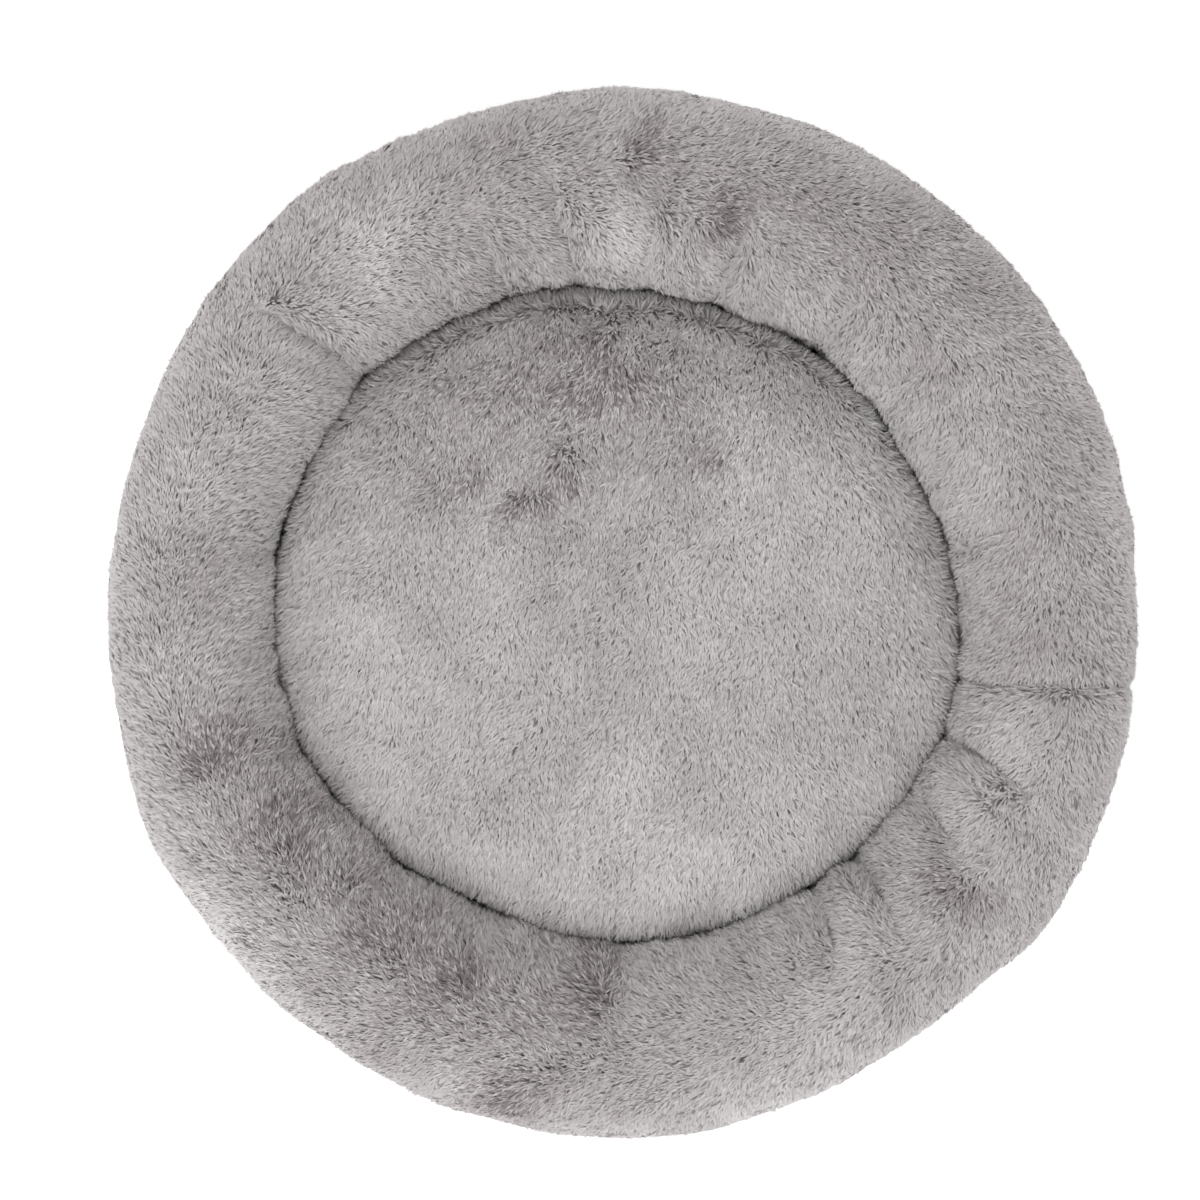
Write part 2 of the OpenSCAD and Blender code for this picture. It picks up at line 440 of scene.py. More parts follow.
@dataclass
class Crease:
    """Where the ring meets the cushion as seen from above, and the ring's outer outline."""

    # Direction in degrees and radius of the crease there
    inner: list[tuple[float, float]] = field(
        default_factory=lambda: [
            (0, 0.197), (26, 0.189), (50, 0.189), (72, 0.188), (94, 0.192), (122, 0.198),
            (135, 0.203), (156, 0.203), (178, 0.203), (203, 0.201), (232, 0.191),
            (245, 0.187), (271, 0.191), (314, 0.193), (339, 0.199),
        ]
    )
    # Direction in degrees and radius of the ring's outline there
    outer: list[tuple[float, float]] = field(
        default_factory=lambda: [
            (0, 0.2965), (20, 0.3005), (50, 0.3010), (82, 0.3040), (110, 0.3015), (128, 0.3045),
            (150, 0.2985), (172, 0.2970), (192, 0.2965), (208, 0.3015), (222, 0.2985),
            (245, 0.2995), (264, 0.3025), (280, 0.3010), (302, 0.2965), (314, 0.2975),
            (324, 0.3020), (340, 0.2995),
        ]
    )


@dataclass(frozen=True)
class Tuck:
    """A pleat or tuck that runs out from the ring's inner edge.

    Attributes:
        direction: where it starts at the crease, in degrees.
        start: how far from the crease it starts.
        length: how far it runs.
        skew: how many degrees its outer end lies round from its start.
        width: half its width.
        depth: how deep it lies. A negative depth is a ridge.
    """

    direction: float
    start: float
    length: float
    skew: float
    width: float
    depth: float


@dataclass(frozen=True)
class Patch:
    """A place where the pile is painted darker or lighter, and where it is parted, lies brushed apart. Some
    broad patches are painted light or painted shade.

    Attributes:
        x: its place to the right.
        y: its place to the rear.
        reach: how far it reaches.
        tone: how much lighter the pile is painted there.
        parted: how far the pile is brushed apart there.
        stretch: how much further it reaches along its own direction.
        turn: that direction, in degrees.
    """

    x: float
    y: float
    reach: float
    tone: float
    parted: float = 0.0
    stretch: float = 1.0
    turn: float = 0.0

    def weight(self, points: Points) -> Points:
        """How much each place belongs to the patch."""
        c, s = math.cos(math.radians(self.turn)), math.sin(math.radians(self.turn))
        dx, dy = points[:, 0] - self.x, points[:, 1] - self.y
        along, across = (dx * c + dy * s) / self.stretch, -dx * s + dy * c
        return np.exp(-(along * along + across * across) / (self.reach * self.reach))

    def spread(self, points: Points) -> Points:
        """Which way the pile is pushed at each place: away from the patch's middle."""
        away = np.stack([points[:, 0] - self.x, points[:, 1] - self.y, points[:, 2] * 0], 1)
        return away / self.reach * (self.weight(points) * self.parted)[:, None]


# Parted spots and broad patches of tone on the ring; among the broad ones are painted light and painted
# shade, marked below
RING_PATCHES_WITH_PAINTED_SHADING = (
    # partly painted shade on the inner slope at the front left, which faces away from the light, and partly
    # the darker, parted look of the pile there
    Patch(-0.172, -0.150, 0.062, -0.26, stretch=1.5, turn=-45),
    # painted shade: the inner slope at the left, which faces away from the light, is painted darker
    Patch(-0.222, -0.030, 0.024, -0.10, stretch=3.0, turn=95),
    Patch(-0.078, -0.226, 0.030, -0.20, stretch=1.6, turn=-10),
    Patch(-0.030, -0.232, 0.022, -0.10, stretch=1.6, turn=0),
    Patch(-0.075, 0.200, 0.030, -0.14, stretch=2.2, turn=12),
    Patch(0.055, 0.222, 0.011, -0.50, 0.9, 1.3, 20),
    Patch(0.010, 0.262, 0.011, -0.32, 0.6, 1.8, 80),
    Patch(0.021, 0.224, 0.009, -0.28, 0.5),
    Patch(0.075, 0.238, 0.024, -0.16, stretch=1.5, turn=150),
    Patch(-0.091, -0.207, 0.010, -0.42, 0.8),
    Patch(-0.014, -0.206, 0.014, -0.42, 0.9, 1.4, 100),
    Patch(-0.059, -0.270, 0.018, -0.30, 0.6, 1.6, 30),
    Patch(-0.230, -0.082, 0.011, -0.35, 0.7, 1.6, 60),
    Patch(0.186, -0.148, 0.015, -0.28, 0.5, 1.6, 120),
    Patch(-0.128, -0.186, 0.016, -0.20, 0.5, 1.6, 20),
    Patch(-0.190, -0.128, 0.013, -0.20, 0.5, 1.8, 80),
    Patch(0.235, 0.060, 0.030, -0.10, stretch=2.0, turn=80),
    Patch(0.150, 0.190, 0.030, -0.14, stretch=1.8, turn=140),
    Patch(-0.001, 0.220, 0.022, 0.20),
    Patch(-0.140, 0.200, 0.022, 0.16, stretch=1.6, turn=50),
    Patch(0.219, -0.088, 0.018, 0.14, stretch=1.6, turn=60),
    Patch(0.090, -0.256, 0.034, 0.12, stretch=2.6, turn=15),
    # painted light: the outer side at the front left, which faces the light, is painted lighter
    Patch(-0.235, -0.172, 0.028, 0.33, stretch=2.8, turn=-50),
    # painted light: the outer side at the left is painted lighter
    Patch(-0.282, -0.030, 0.018, 0.13, stretch=4.0, turn=95),
    # painted shade: the outer side at the rear right, away from the light, is painted darker
    Patch(0.205, 0.200, 0.036, -0.15, stretch=2.6, turn=135),
    # painted shade: the outer side at the rear, away from the light, is painted darker
    Patch(-0.022, 0.256, 0.030, -0.10, stretch=3.0),
    Patch(0.060, -0.245, 0.026, -0.10, stretch=2.4, turn=12),
    Patch(0.180, -0.172, 0.032, -0.09, stretch=2.0, turn=45),
    # painted light: the outer side at the left, towards the rear, is painted lighter
    Patch(-0.262, 0.090, 0.026, 0.08, stretch=2.6, turn=75),
    Patch(0.120, -0.215, 0.020, 0.12, stretch=2.0, turn=45),
)

# Parted spots and broad patches of tone on the cushion; among the broad ones is painted shade, marked below
CUSHION_PATCHES_WITH_PAINTED_SHADING = (
    Patch(0.085, 0.100, 0.055, 0.13, stretch=1.3, turn=140),
    Patch(-0.080, 0.130, 0.030, 0.04, stretch=1.6, turn=40),
    Patch(-0.090, -0.040, 0.070, -0.035, stretch=1.4, turn=110),
    Patch(0.040, -0.120, 0.050, -0.025, stretch=1.8, turn=10),
    Patch(-0.032, 0.083, 0.011, -0.34, 0.8, 1.4, 100),
    Patch(-0.051, 0.066, 0.010, -0.40, 0.8, 1.3, 20),
    Patch(-0.084, 0.083, 0.009, -0.26, 0.6),
    Patch(-0.064, 0.058, 0.008, -0.26, 0.5, 1.6, 60),
    Patch(0.056, 0.089, 0.009, -0.24, 0.5),
    Patch(-0.008, 0.158, 0.010, -0.26, 0.6),
    Patch(-0.009, 0.130, 0.015, -0.22, 0.6, 1.6, 10),
    # painted shade: this patch and the next two darken the cushion's rear, away from the light at the front
    Patch(-0.060, 0.140, 0.050, -0.20, stretch=1.6, turn=15),
    Patch(0.060, 0.130, 0.055, -0.16, stretch=1.5, turn=-20),
    Patch(-0.020, 0.100, 0.060, -0.10, stretch=2.0),
    Patch(-0.120, 0.060, 0.030, -0.10, stretch=2.0, turn=60),
    Patch(0.160, 0.010, 0.026, -0.08, stretch=2.0, turn=95),
    Patch(-0.030, -0.128, 0.030, -0.05, stretch=2.0, turn=80),
    Patch(0.010, -0.140, 0.040, 0.12, stretch=2.0),
    Patch(0.006, -0.090, 0.018, 0.12, stretch=1.6, turn=60),
    Patch(0.090, -0.110, 0.030, 0.06, stretch=1.6, turn=30),
    Patch(-0.110, -0.030, 0.034, 0.06, stretch=1.6, turn=100),
    Patch(0.070, 0.020, 0.040, 0.05),
)


def patched(
    points: Points, shade: Points, nap: Points, patches: tuple[Patch, ...]
) -> tuple[Points, Points, Points]:
    """Lays the patches over the pile's shade and nap, painted light and painted shade among them.

    Args:
        points: the skin's vertices.
        shade: the pile's shade there.
        nap: the pile's lean there.
        patches: the patches.

    Returns:
        The new shade, the new lean and how much the tufts' shades differ.
    """
    unrest = np.full(len(points), 0.05)
    uneven = points.copy()
    uneven[:, 0] += 6 * MM * lattice_noise(points, 0.02, 71)
    uneven[:, 1] += 6 * MM * lattice_noise(points, 0.02, 72)
    for patch in patches:
        weight = patch.weight(uneven)
        shade = shade + patch.tone * weight * (1.0 if patch.tone > 0 else 0.8)
        unrest = unrest + max(0.0, -patch.tone) * 0.7 * weight
        if patch.parted:
            nap = nap + patch.spread(points)
    return shade, nap, unrest


@dataclass
class PlushRing:
    """The stuffed ring's plush sleeve, drawn from the well's wall over the top to the base.

    Attributes:
        sizes: the bed's sizes.
        crease: the ring's outlines.
        pile_rise: how far the pile stands above the skin at the top and at the inner edge.
        rim_rise: how far it stands out round the rim.
        around_count: columns of the grid round the bed's axis.
        section_count: places round one section.
        arc_share: the share of them over the top.
        wall_share: the share of them down the well's wall.
        belly: height of the widest place, as a share of the ring's height.
        band_inset: how far inside the side band the skin is sewn down.
        wall_lean: how far the well's wall leans out at its foot.
        cut_excess: how much wider the inner side is cut than it lies.
        join: y, slope and pivot of the join's line.
        join_width: width of the join's furrow.
        join_depth: depth of the join's furrow.
        tucks: the pleats and ridges.
    """

    sizes: BedSizes
    crease: Crease = field(default_factory=Crease)
    pile_rise: float = 5 * MM
    rim_rise: float = 3.6 * MM
    around_count: int = 360
    section_count: int = 56
    arc_share: float = 0.68
    wall_share: float = 0.14
    belly: float = 0.52
    band_inset: float = 2.5 * MM
    wall_lean: float = 3 * MM
    cut_excess: float = 0.05
    join: tuple[float, float, float] = (-0.0385, -0.022, 0.19)
    join_width: float = 3.2 * MM
    join_depth: float = 4.5 * MM
    tucks: tuple[Tuck, ...] = (
        Tuck(137, -0.002, 0.085, 4, 8 * MM, 9 * MM),
        Tuck(144, 0.002, 0.080, 4, 10 * MM, -4 * MM),
        Tuck(130, 0.000, 0.060, 3, 8 * MM, -3 * MM),
        Tuck(109, -0.002, 0.060, 2, 7 * MM, 3.5 * MM),
        Tuck(98, -0.002, 0.085, 3, 7 * MM, 5.5 * MM),
        Tuck(93, 0.000, 0.080, 2, 8 * MM, -3 * MM),
        Tuck(86, 0.006, 0.085, -1, 8 * MM, 5.5 * MM),
        Tuck(80, 0.004, 0.060, -1, 6 * MM, -2.5 * MM),
        Tuck(73, -0.002, 0.080, 0, 7 * MM, 6 * MM),
        Tuck(67, 0.000, 0.070, -1, 9 * MM, -3 * MM),
        Tuck(53, -0.002, 0.060, 2, 10 * MM, 5 * MM),
        Tuck(40, -0.002, 0.055, 0, 10 * MM, 5 * MM),
        Tuck(27, -0.002, 0.045, 1, 9 * MM, 3 * MM),
        Tuck(-20, -0.002, 0.070, -5, 5 * MM, 9 * MM),
        Tuck(-25, -0.002, 0.070, -6, 7 * MM, -6 * MM),
        Tuck(-31, 0.000, 0.055, -6, 7 * MM, 5 * MM),
        Tuck(-46, -0.002, 0.068, -4, 6 * MM, 8 * MM),
        Tuck(-50, -0.002, 0.062, -5, 6 * MM, -5 * MM),
        Tuck(-55, -0.002, 0.055, -4, 6 * MM, 6 * MM),
        Tuck(-61, 0.000, 0.045, -4, 8 * MM, -3 * MM),
        Tuck(203, -0.002, 0.034, -1, 6 * MM, 5 * MM),
        Tuck(213, -0.002, 0.050, -2, 9 * MM, 4 * MM),
        Tuck(228, -0.002, 0.055, -2, 9 * MM, 4 * MM),
        Tuck(246, -0.003, 0.050, 2, 12 * MM, 6 * MM),
        Tuck(259, 0.000, 0.050, 2, 9 * MM, 3 * MM),
        Tuck(270, -0.002, 0.040, 1, 8 * MM, 3 * MM),
        Tuck(170, -0.002, 0.040, 1, 9 * MM, 3 * MM),
        Tuck(186, -0.002, 0.034, 1, 9 * MM, 3 * MM),
        Tuck(12, -0.002, 0.040, 1, 8 * MM, 3 * MM),
        Tuck(120, -0.002, 0.050, 2, 7 * MM, 4 * MM),
    )

    def section(self, inner: Points, outer: Points) -> Points:
        """Lays out the ring's section for each direction.

        Args:
            inner: the skin's inner radius by direction.
            outer: the skin's outer radius by direction.

        Returns:
            Radius and height, shaped (directions, section points, 2).
        """
        s = self.sizes
        rise = self.pile_rise
        belly_z = s.ring_top * self.belly
        middle, half = (inner + outer) / 2, (outer - inner) / 2
        top = s.ring_top - rise - belly_z
        low_z = s.band_top + 0.5 * MM
        reach = s.band_radius - self.band_inset - middle
        start = -np.arccos(np.clip(reach / half, 0, 1))
        arc = int(self.section_count * self.arc_share)
        wall = int(self.section_count * self.wall_share)
        under = self.section_count - arc - wall
        t = start[:, None] + (math.pi - start[:, None]) * np.linspace(0, 1, arc)[None, :]
        low = (belly_z - low_z) / np.maximum(np.sin(-start), 0.3)
        radius = middle[:, None] + half[:, None] * np.cos(t)
        height = belly_z + np.where(np.sin(t) > 0, top * np.sin(t), low[:, None] * np.sin(t))
        w = np.linspace(0, 1, wall + 1)[1:]
        foot = s.floor + 1 * MM
        wall_r = inner[:, None] + self.wall_lean * (w ** 2)[None, :]
        wall_z = np.broadcast_to(belly_z + (foot - belly_z) * w, wall_r.shape)
        u = np.linspace(0, 1, under + 2)[1:-1]
        under_r = wall_r[:, -1:] + (radius[:, :1] - wall_r[:, -1:]) * u[None, :]
        under_z = np.broadcast_to(foot + (low_z - foot) * u, under_r.shape)
        return np.stack(
            [np.concatenate([radius, wall_r, under_r], 1), np.concatenate([height, wall_z, under_z], 1)],
            axis=2,
        )

    @staticmethod
    def grid(section: Points) -> tuple[Points, list[tuple[int, ...]]]:
        """Turns sections into a closed tube.

        Args:
            section: radius and height, shaped (directions, section points, 2).

        Returns:
            The tube's points and faces.
        """
        count, rows = section.shape[:2]
        angle = np.linspace(0, 2 * math.pi, count, endpoint=False)[:, None]
        points = turned_places(section[..., 0], section[..., 1], angle)
        faces = [
            (i * rows + j, ((i + 1) % count) * rows + j,
             ((i + 1) % count) * rows + (j + 1) % rows, i * rows + (j + 1) % rows)
            for i in range(count) for j in range(rows)
        ]
        return points, faces

    def build(self) -> bpy.types.Object:
        """Builds the sleeve: the cut tube, its filling pressed out, then tucks and furrows.

        Returns:
            The sleeve, without material, slot or body.
        """
        directions = np.linspace(0, 360, self.around_count, endpoint=False)
        inner = around(self.crease.inner, directions) + self.pile_rise
        outer = around(self.crease.outer, directions) - self.rim_rise
        points, faces = self.grid(self.section(inner, outer))
        piece = new_mesh("bolster_sleeve", points, faces)
        shade_smooth(piece)
        radius, _ = polar(points)
        held = (points[:, 2] < self.sizes.band_top + 2 * MM).astype(float)
        inside = 1 - smoothstep(0.19, 0.29, radius)
        excess = 1 + self.cut_excess * inside * smoothstep(0.03, 0.06, points[:, 2])
        cut = points.copy()
        cut[:, :2] *= excess[:, None]
        inflate(piece, held, ClothSettings(pressure=5.0, cap=6 * MM), cut)
        subdivide(piece, 1)
        self.sculpt(piece)
        return piece

    def sculpt(self, piece: bpy.types.Object) -> None:
        """Presses in the lumps of filling, the tucks and the join's furrow.

        Args:
            piece: the sleeve, changed in place.
        """
        p, normals = coordinates(piece.data), vertex_normals(piece.data)
        radius, direction = polar(p)
        crease = around(self.crease.inner, direction)
        upper = smoothstep(0.03, 0.055, p[:, 2])
        move = 1.6 * MM * lattice_noise(p, 0.055, 11) + 0.9 * MM * lattice_noise(p, 0.024, 12)
        for tuck in self.tucks:
            along = (radius - crease - tuck.start) / tuck.length
            centre = tuck.direction + tuck.skew * np.clip(along, -0.5, 1.5)
            across = np.radians(turn_between(direction, 0.0) - centre)
            across = (across + math.pi) % (2 * math.pi) - math.pi
            distance = across * radius
            profile = np.exp(-((distance / tuck.width) ** 2))
            fade = (1 - smoothstep(0.30, 1.0, along)) * (0.35 + 0.65 * smoothstep(-0.05, 0.28, along))
            move -= tuck.depth * profile * fade * upper
        laid = np.stack([np.radians(direction) * 17.0, (radius - crease) * 16.0, p[:, 2] * 0 + 0.5], 1)
        gathers = lattice_noise(laid, 1.0, 13) + 0.5 * lattice_noise(laid * 2.1, 1.0, 14)
        near = 1 - smoothstep(0.010, 0.060, radius - crease)
        move += 1.5 * MM * gathers * near * upper
        move -= self.join_depth * np.exp(-((self.join_distance(p) / self.join_width) ** 2))
        body = smoothstep(0.0, 0.012, p[:, 2] - self.sizes.band_top)
        set_coordinates(piece.data, p + normals * (move * np.maximum(body, 0.0))[:, None])

    def batting(self, sleeve: bpy.types.Object) -> bpy.types.Object:
        """Makes the filling.

        Args:
            sleeve: the finished sleeve, with what its pile reads.

        Returns:
            A thinned copy of the sleeve, a little inside it.
        """
        piece = bpy.data.objects.new("bolster_batting", sleeve.data.copy())
        bpy.context.scene.collection.objects.link(piece)
        forget(piece.data, PILE_READS)
        points, normals = coordinates(piece.data), vertex_normals(piece.data)
        set_coordinates(piece.data, points - normals * 4 * MM)
        thin = piece.modifiers.new("thin", "DECIMATE")
        thin.ratio = 0.25
        apply_modifiers(piece)
        return piece

    def join_distance(self, points: Points) -> Points:
        """Distance of each place from the join at the ring's right, large on the other side."""
        start, slope, pivot = self.join
        line = start + slope * (points[:, 0] - pivot)
        return np.where(points[:, 0] > 0, points[:, 1] - line, 1.0)


@dataclass
class Cushion:
    """The loose boxed cushion: top, side and underside of one stuffed form.

    Attributes:
        sizes: the bed's sizes.
        around_count: columns of the grid round the bed's axis.
        dome_rows: rows of the grid over the top.
        pile_rise: how far the pile stands above the top's seam.
        clearance: gap between its side and the crease.
        foot_inset: how far its side draws in at the bottom.
        top_inset: how far it draws in at the top's seam.
        rear: direction where its top draws in further, in degrees.
        rear_reach: how far round that goes, in degrees.
        rear_inset: how much further it draws in there.
        bulge: how far its side bulges.
        seam_rise: how far the top's seam is drawn up.
        crown: height of its domed top.
        voxel: size of the even mesh it is blown up with.
        cloth: thickness of the lining.
        wrinkles: start, end, half width and depth of each wrinkle.
    """

    sizes: BedSizes
    around_count: int = 240
    dome_rows: int = 26
    pile_rise: float = 4.5 * MM
    clearance: float = 1.5 * MM
    foot_inset: float = 5 * MM
    top_inset: float = 1.5 * MM
    rear: float = 98.0
    rear_reach: float = 34.0
    rear_inset: float = 4.5 * MM
    bulge: float = 2.0 * MM
    seam_rise: float = 3.5 * MM
    crown: float = 10.5 * MM
    voxel: float = 6 * MM
    cloth: float = 1.2 * MM
    wrinkles: tuple[tuple[tuple[float, float], tuple[float, float], float, float], ...] = (
        ((-0.085, -0.030), (-0.075, -0.105), 5 * MM, 3.0 * MM),
        ((-0.060, -0.055), (-0.040, -0.120), 5 * MM, 2.5 * MM),
        ((-0.022, -0.060), (-0.030, -0.110), 5 * MM, 2.5 * MM),
        ((-0.105, -0.060), (-0.090, -0.130), 6 * MM, 2.0 * MM),
        ((-0.010, -0.100), (0.000, -0.140), 6 * MM, 2.0 * MM),
    )

    def build(self) -> bpy.types.Object:
        """Builds the stuffed form, its seams and its wrinkles.

        Returns:
            The cushion, without material, slot or body.
        """
        s = self.sizes
        count = self.around_count
        angle = np.linspace(0, 2 * math.pi, count, endpoint=False)
        edge = around(Crease().inner, np.degrees(angle)) - self.clearance
        rear = np.exp(-((turn_between(np.degrees(angle), self.rear) / self.rear_reach) ** 2))
        top_edge = edge - self.top_inset - self.rear_inset * rear
        high = s.cushion_edge - self.pile_rise + self.seam_rise
        foot = edge - self.foot_inset
        rows = [(foot, s.cushion_low)]
        for t in np.linspace(0.12, 1.0, 7):
            radius = foot + (edge - foot) * min(1, t * 3)
            radius = radius + (top_edge - edge) * max(0, t * 4 - 3) + self.bulge * math.sin(math.pi * t)
            rows.append((radius, s.cushion_low + (high - s.cushion_low) * t))
        for t in np.linspace(0, 1, self.dome_rows)[1:-1]:
            a = t * math.pi / 2
            rows.append((top_edge * math.cos(a) ** 0.9, high + self.crown * math.sin(a) ** 0.9))
        points = [np.stack([r * np.cos(angle), r * np.sin(angle), np.full(count, z)], 1) for r, z in rows]
        poles = np.array([[0, 0, high + self.crown], [0, 0, s.cushion_low]])
        last = (len(rows) - 1) * count
        after = [(i + 1) % count for i in range(count)]
        faces: list[Any] = [
            (k + i, k + after[i], k + count + after[i], k + count + i)
            for k in range(0, last, count) for i in range(count)
        ]
        faces += [(last + i, last + after[i], last + count) for i in range(count)]
        faces += [(after[i], i, last + count + 1) for i in range(count)]
        piece = new_mesh("cushion_body", np.concatenate([*points, poles]), faces)
        remesh = piece.modifiers.new("even", "REMESH")
        remesh.mode = "VOXEL"
        remesh.voxel_size = self.voxel
        apply_modifiers(piece)
        p = coordinates(piece.data)
        held = (p[:, 2] < s.cushion_low + 4 * MM).astype(float)
        cut = p.copy()
        cut[:, :2] *= 1.012
        inflate(piece, held, ClothSettings(pressure=3.0, cap=4 * MM), cut)
        subdivide(piece, 1)
        shade_smooth(piece)
        self.sculpt(piece, angle, top_edge, high)
        return piece

    def sculpt(self, piece: bpy.types.Object, angle: Points, top_edge: Points, high: float) -> None:
        """Presses in the seam around the top, the lumps of filling and the soft wrinkles.

        Args:
            piece: the cushion, changed in place.
            angle: directions where the top's edge is given, in radians.
            top_edge: radius of the top's seam in each of them.
            high: height of that seam.
        """
        p, normals = coordinates(piece.data), vertex_normals(piece.data)
        radius, direction = polar(p)
        rim = np.interp(direction % 360, np.degrees(angle), top_edge, period=360)
        seam = np.hypot(radius - rim, p[:, 2] - high - 1 * MM)
        move = 1.3 * MM * lattice_noise(p, 0.06, 21) + 0.7 * MM * lattice_noise(p, 0.026, 22)
        move -= 3.0 * MM * np.exp(-((seam / (4 * MM)) ** 2))
        for start, end, width, depth in self.wrinkles:
            a, b = np.array(start), np.array(end)
            t = np.clip(((p[:, :2] - a) @ (b - a)) / ((b - a) @ (b - a)), 0, 1)
            distance = np.linalg.norm(p[:, :2] - (a + t[:, None] * (b - a)), axis=1)
            move -= depth * np.exp(-((distance / width) ** 2)) * smoothstep(0.03, 0.05, p[:, 2])
        low = self.sizes.cushion_low
        body = smoothstep(low + 4 * MM, low + 14 * MM, p[:, 2])
        p = p + normals * (move * body)[:, None]
        p[:, 2] = np.maximum(p[:, 2], low + 0.8 * self.cloth)
        set_coordinates(piece.data, p)

    def lining(self, finishes: Finishes, stitcher: Stitcher) -> None:
        """Sews on the woven lining underneath, cut to the cushion's outline.

        Args:
            finishes: the bed's materials.
            stitcher: sews its stitches.
        """
        low = self.sizes.cushion_low
        directions = np.linspace(0, 360, self.around_count, endpoint=False)
        outline = around(Crease().inner, directions) - 5.5 * MM
        share = np.concatenate([np.linspace(0.012, 0.94, 14), np.linspace(0.955, 1.0, 5)])
        radius = outline[:, None] * share[None, :]
        pucker = 0.35 * MM * (1 + np.sin(np.radians(directions) * 120.0)[:, None])
        height = low + pucker * np.exp(-(((1 - share) / 0.02) ** 2))[None, :]
        piece = turned_disc("cushion_lining", radius[:, ::-1], height[:, ::-1], directions, low, True)
        thicken(piece, self.cloth)
        dressed(piece, finishes.lining, "cushion")
        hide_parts("cushion_underside", "cushion_bottom_seam")
        runs = [StitchRun(float(outline.min()) - 4 * MM, low)]
        sewn = stitcher.sew("cushion_stitches", runs, finishes.thread)
        dressed(sewn, finishes.thread, "cushion")


# ---------------------------------------------------------------------------------------------
# Pile


@dataclass(frozen=True)
class PileShade:
    """One shade of the plush's fibres.

    Attributes:
        name: the material's name.
        colour: its colour.
        roughness: how matt it is.
        sheen: how strongly its fuzz catches light.
    """

    name: str
    colour: tuple[float, float, float]
    roughness: float = 0.85
    sheen: float = 0.25

    def material(self) -> bpy.types.Material:
        """Makes the shade's material.

        Returns:
            The new material.
        """
        made = bpy.data.materials.new(self.name)
        made.use_nodes = True
        shader = made.node_tree.nodes["Principled BSDF"]
        shader.inputs["Base Color"].default_value = (*self.colour, 1.0)
        shader.inputs["Roughness"].default_value = self.roughness
        shader.inputs["Specular IOR Level"].default_value = 0.2
        shader.inputs["Sheen Weight"].default_value = self.sheen
        shader.inputs["Sheen Roughness"].default_value = 0.6
        shader.inputs["Sheen Tint"].default_value = (0.9, 0.88, 0.87, 1.0)
        return made


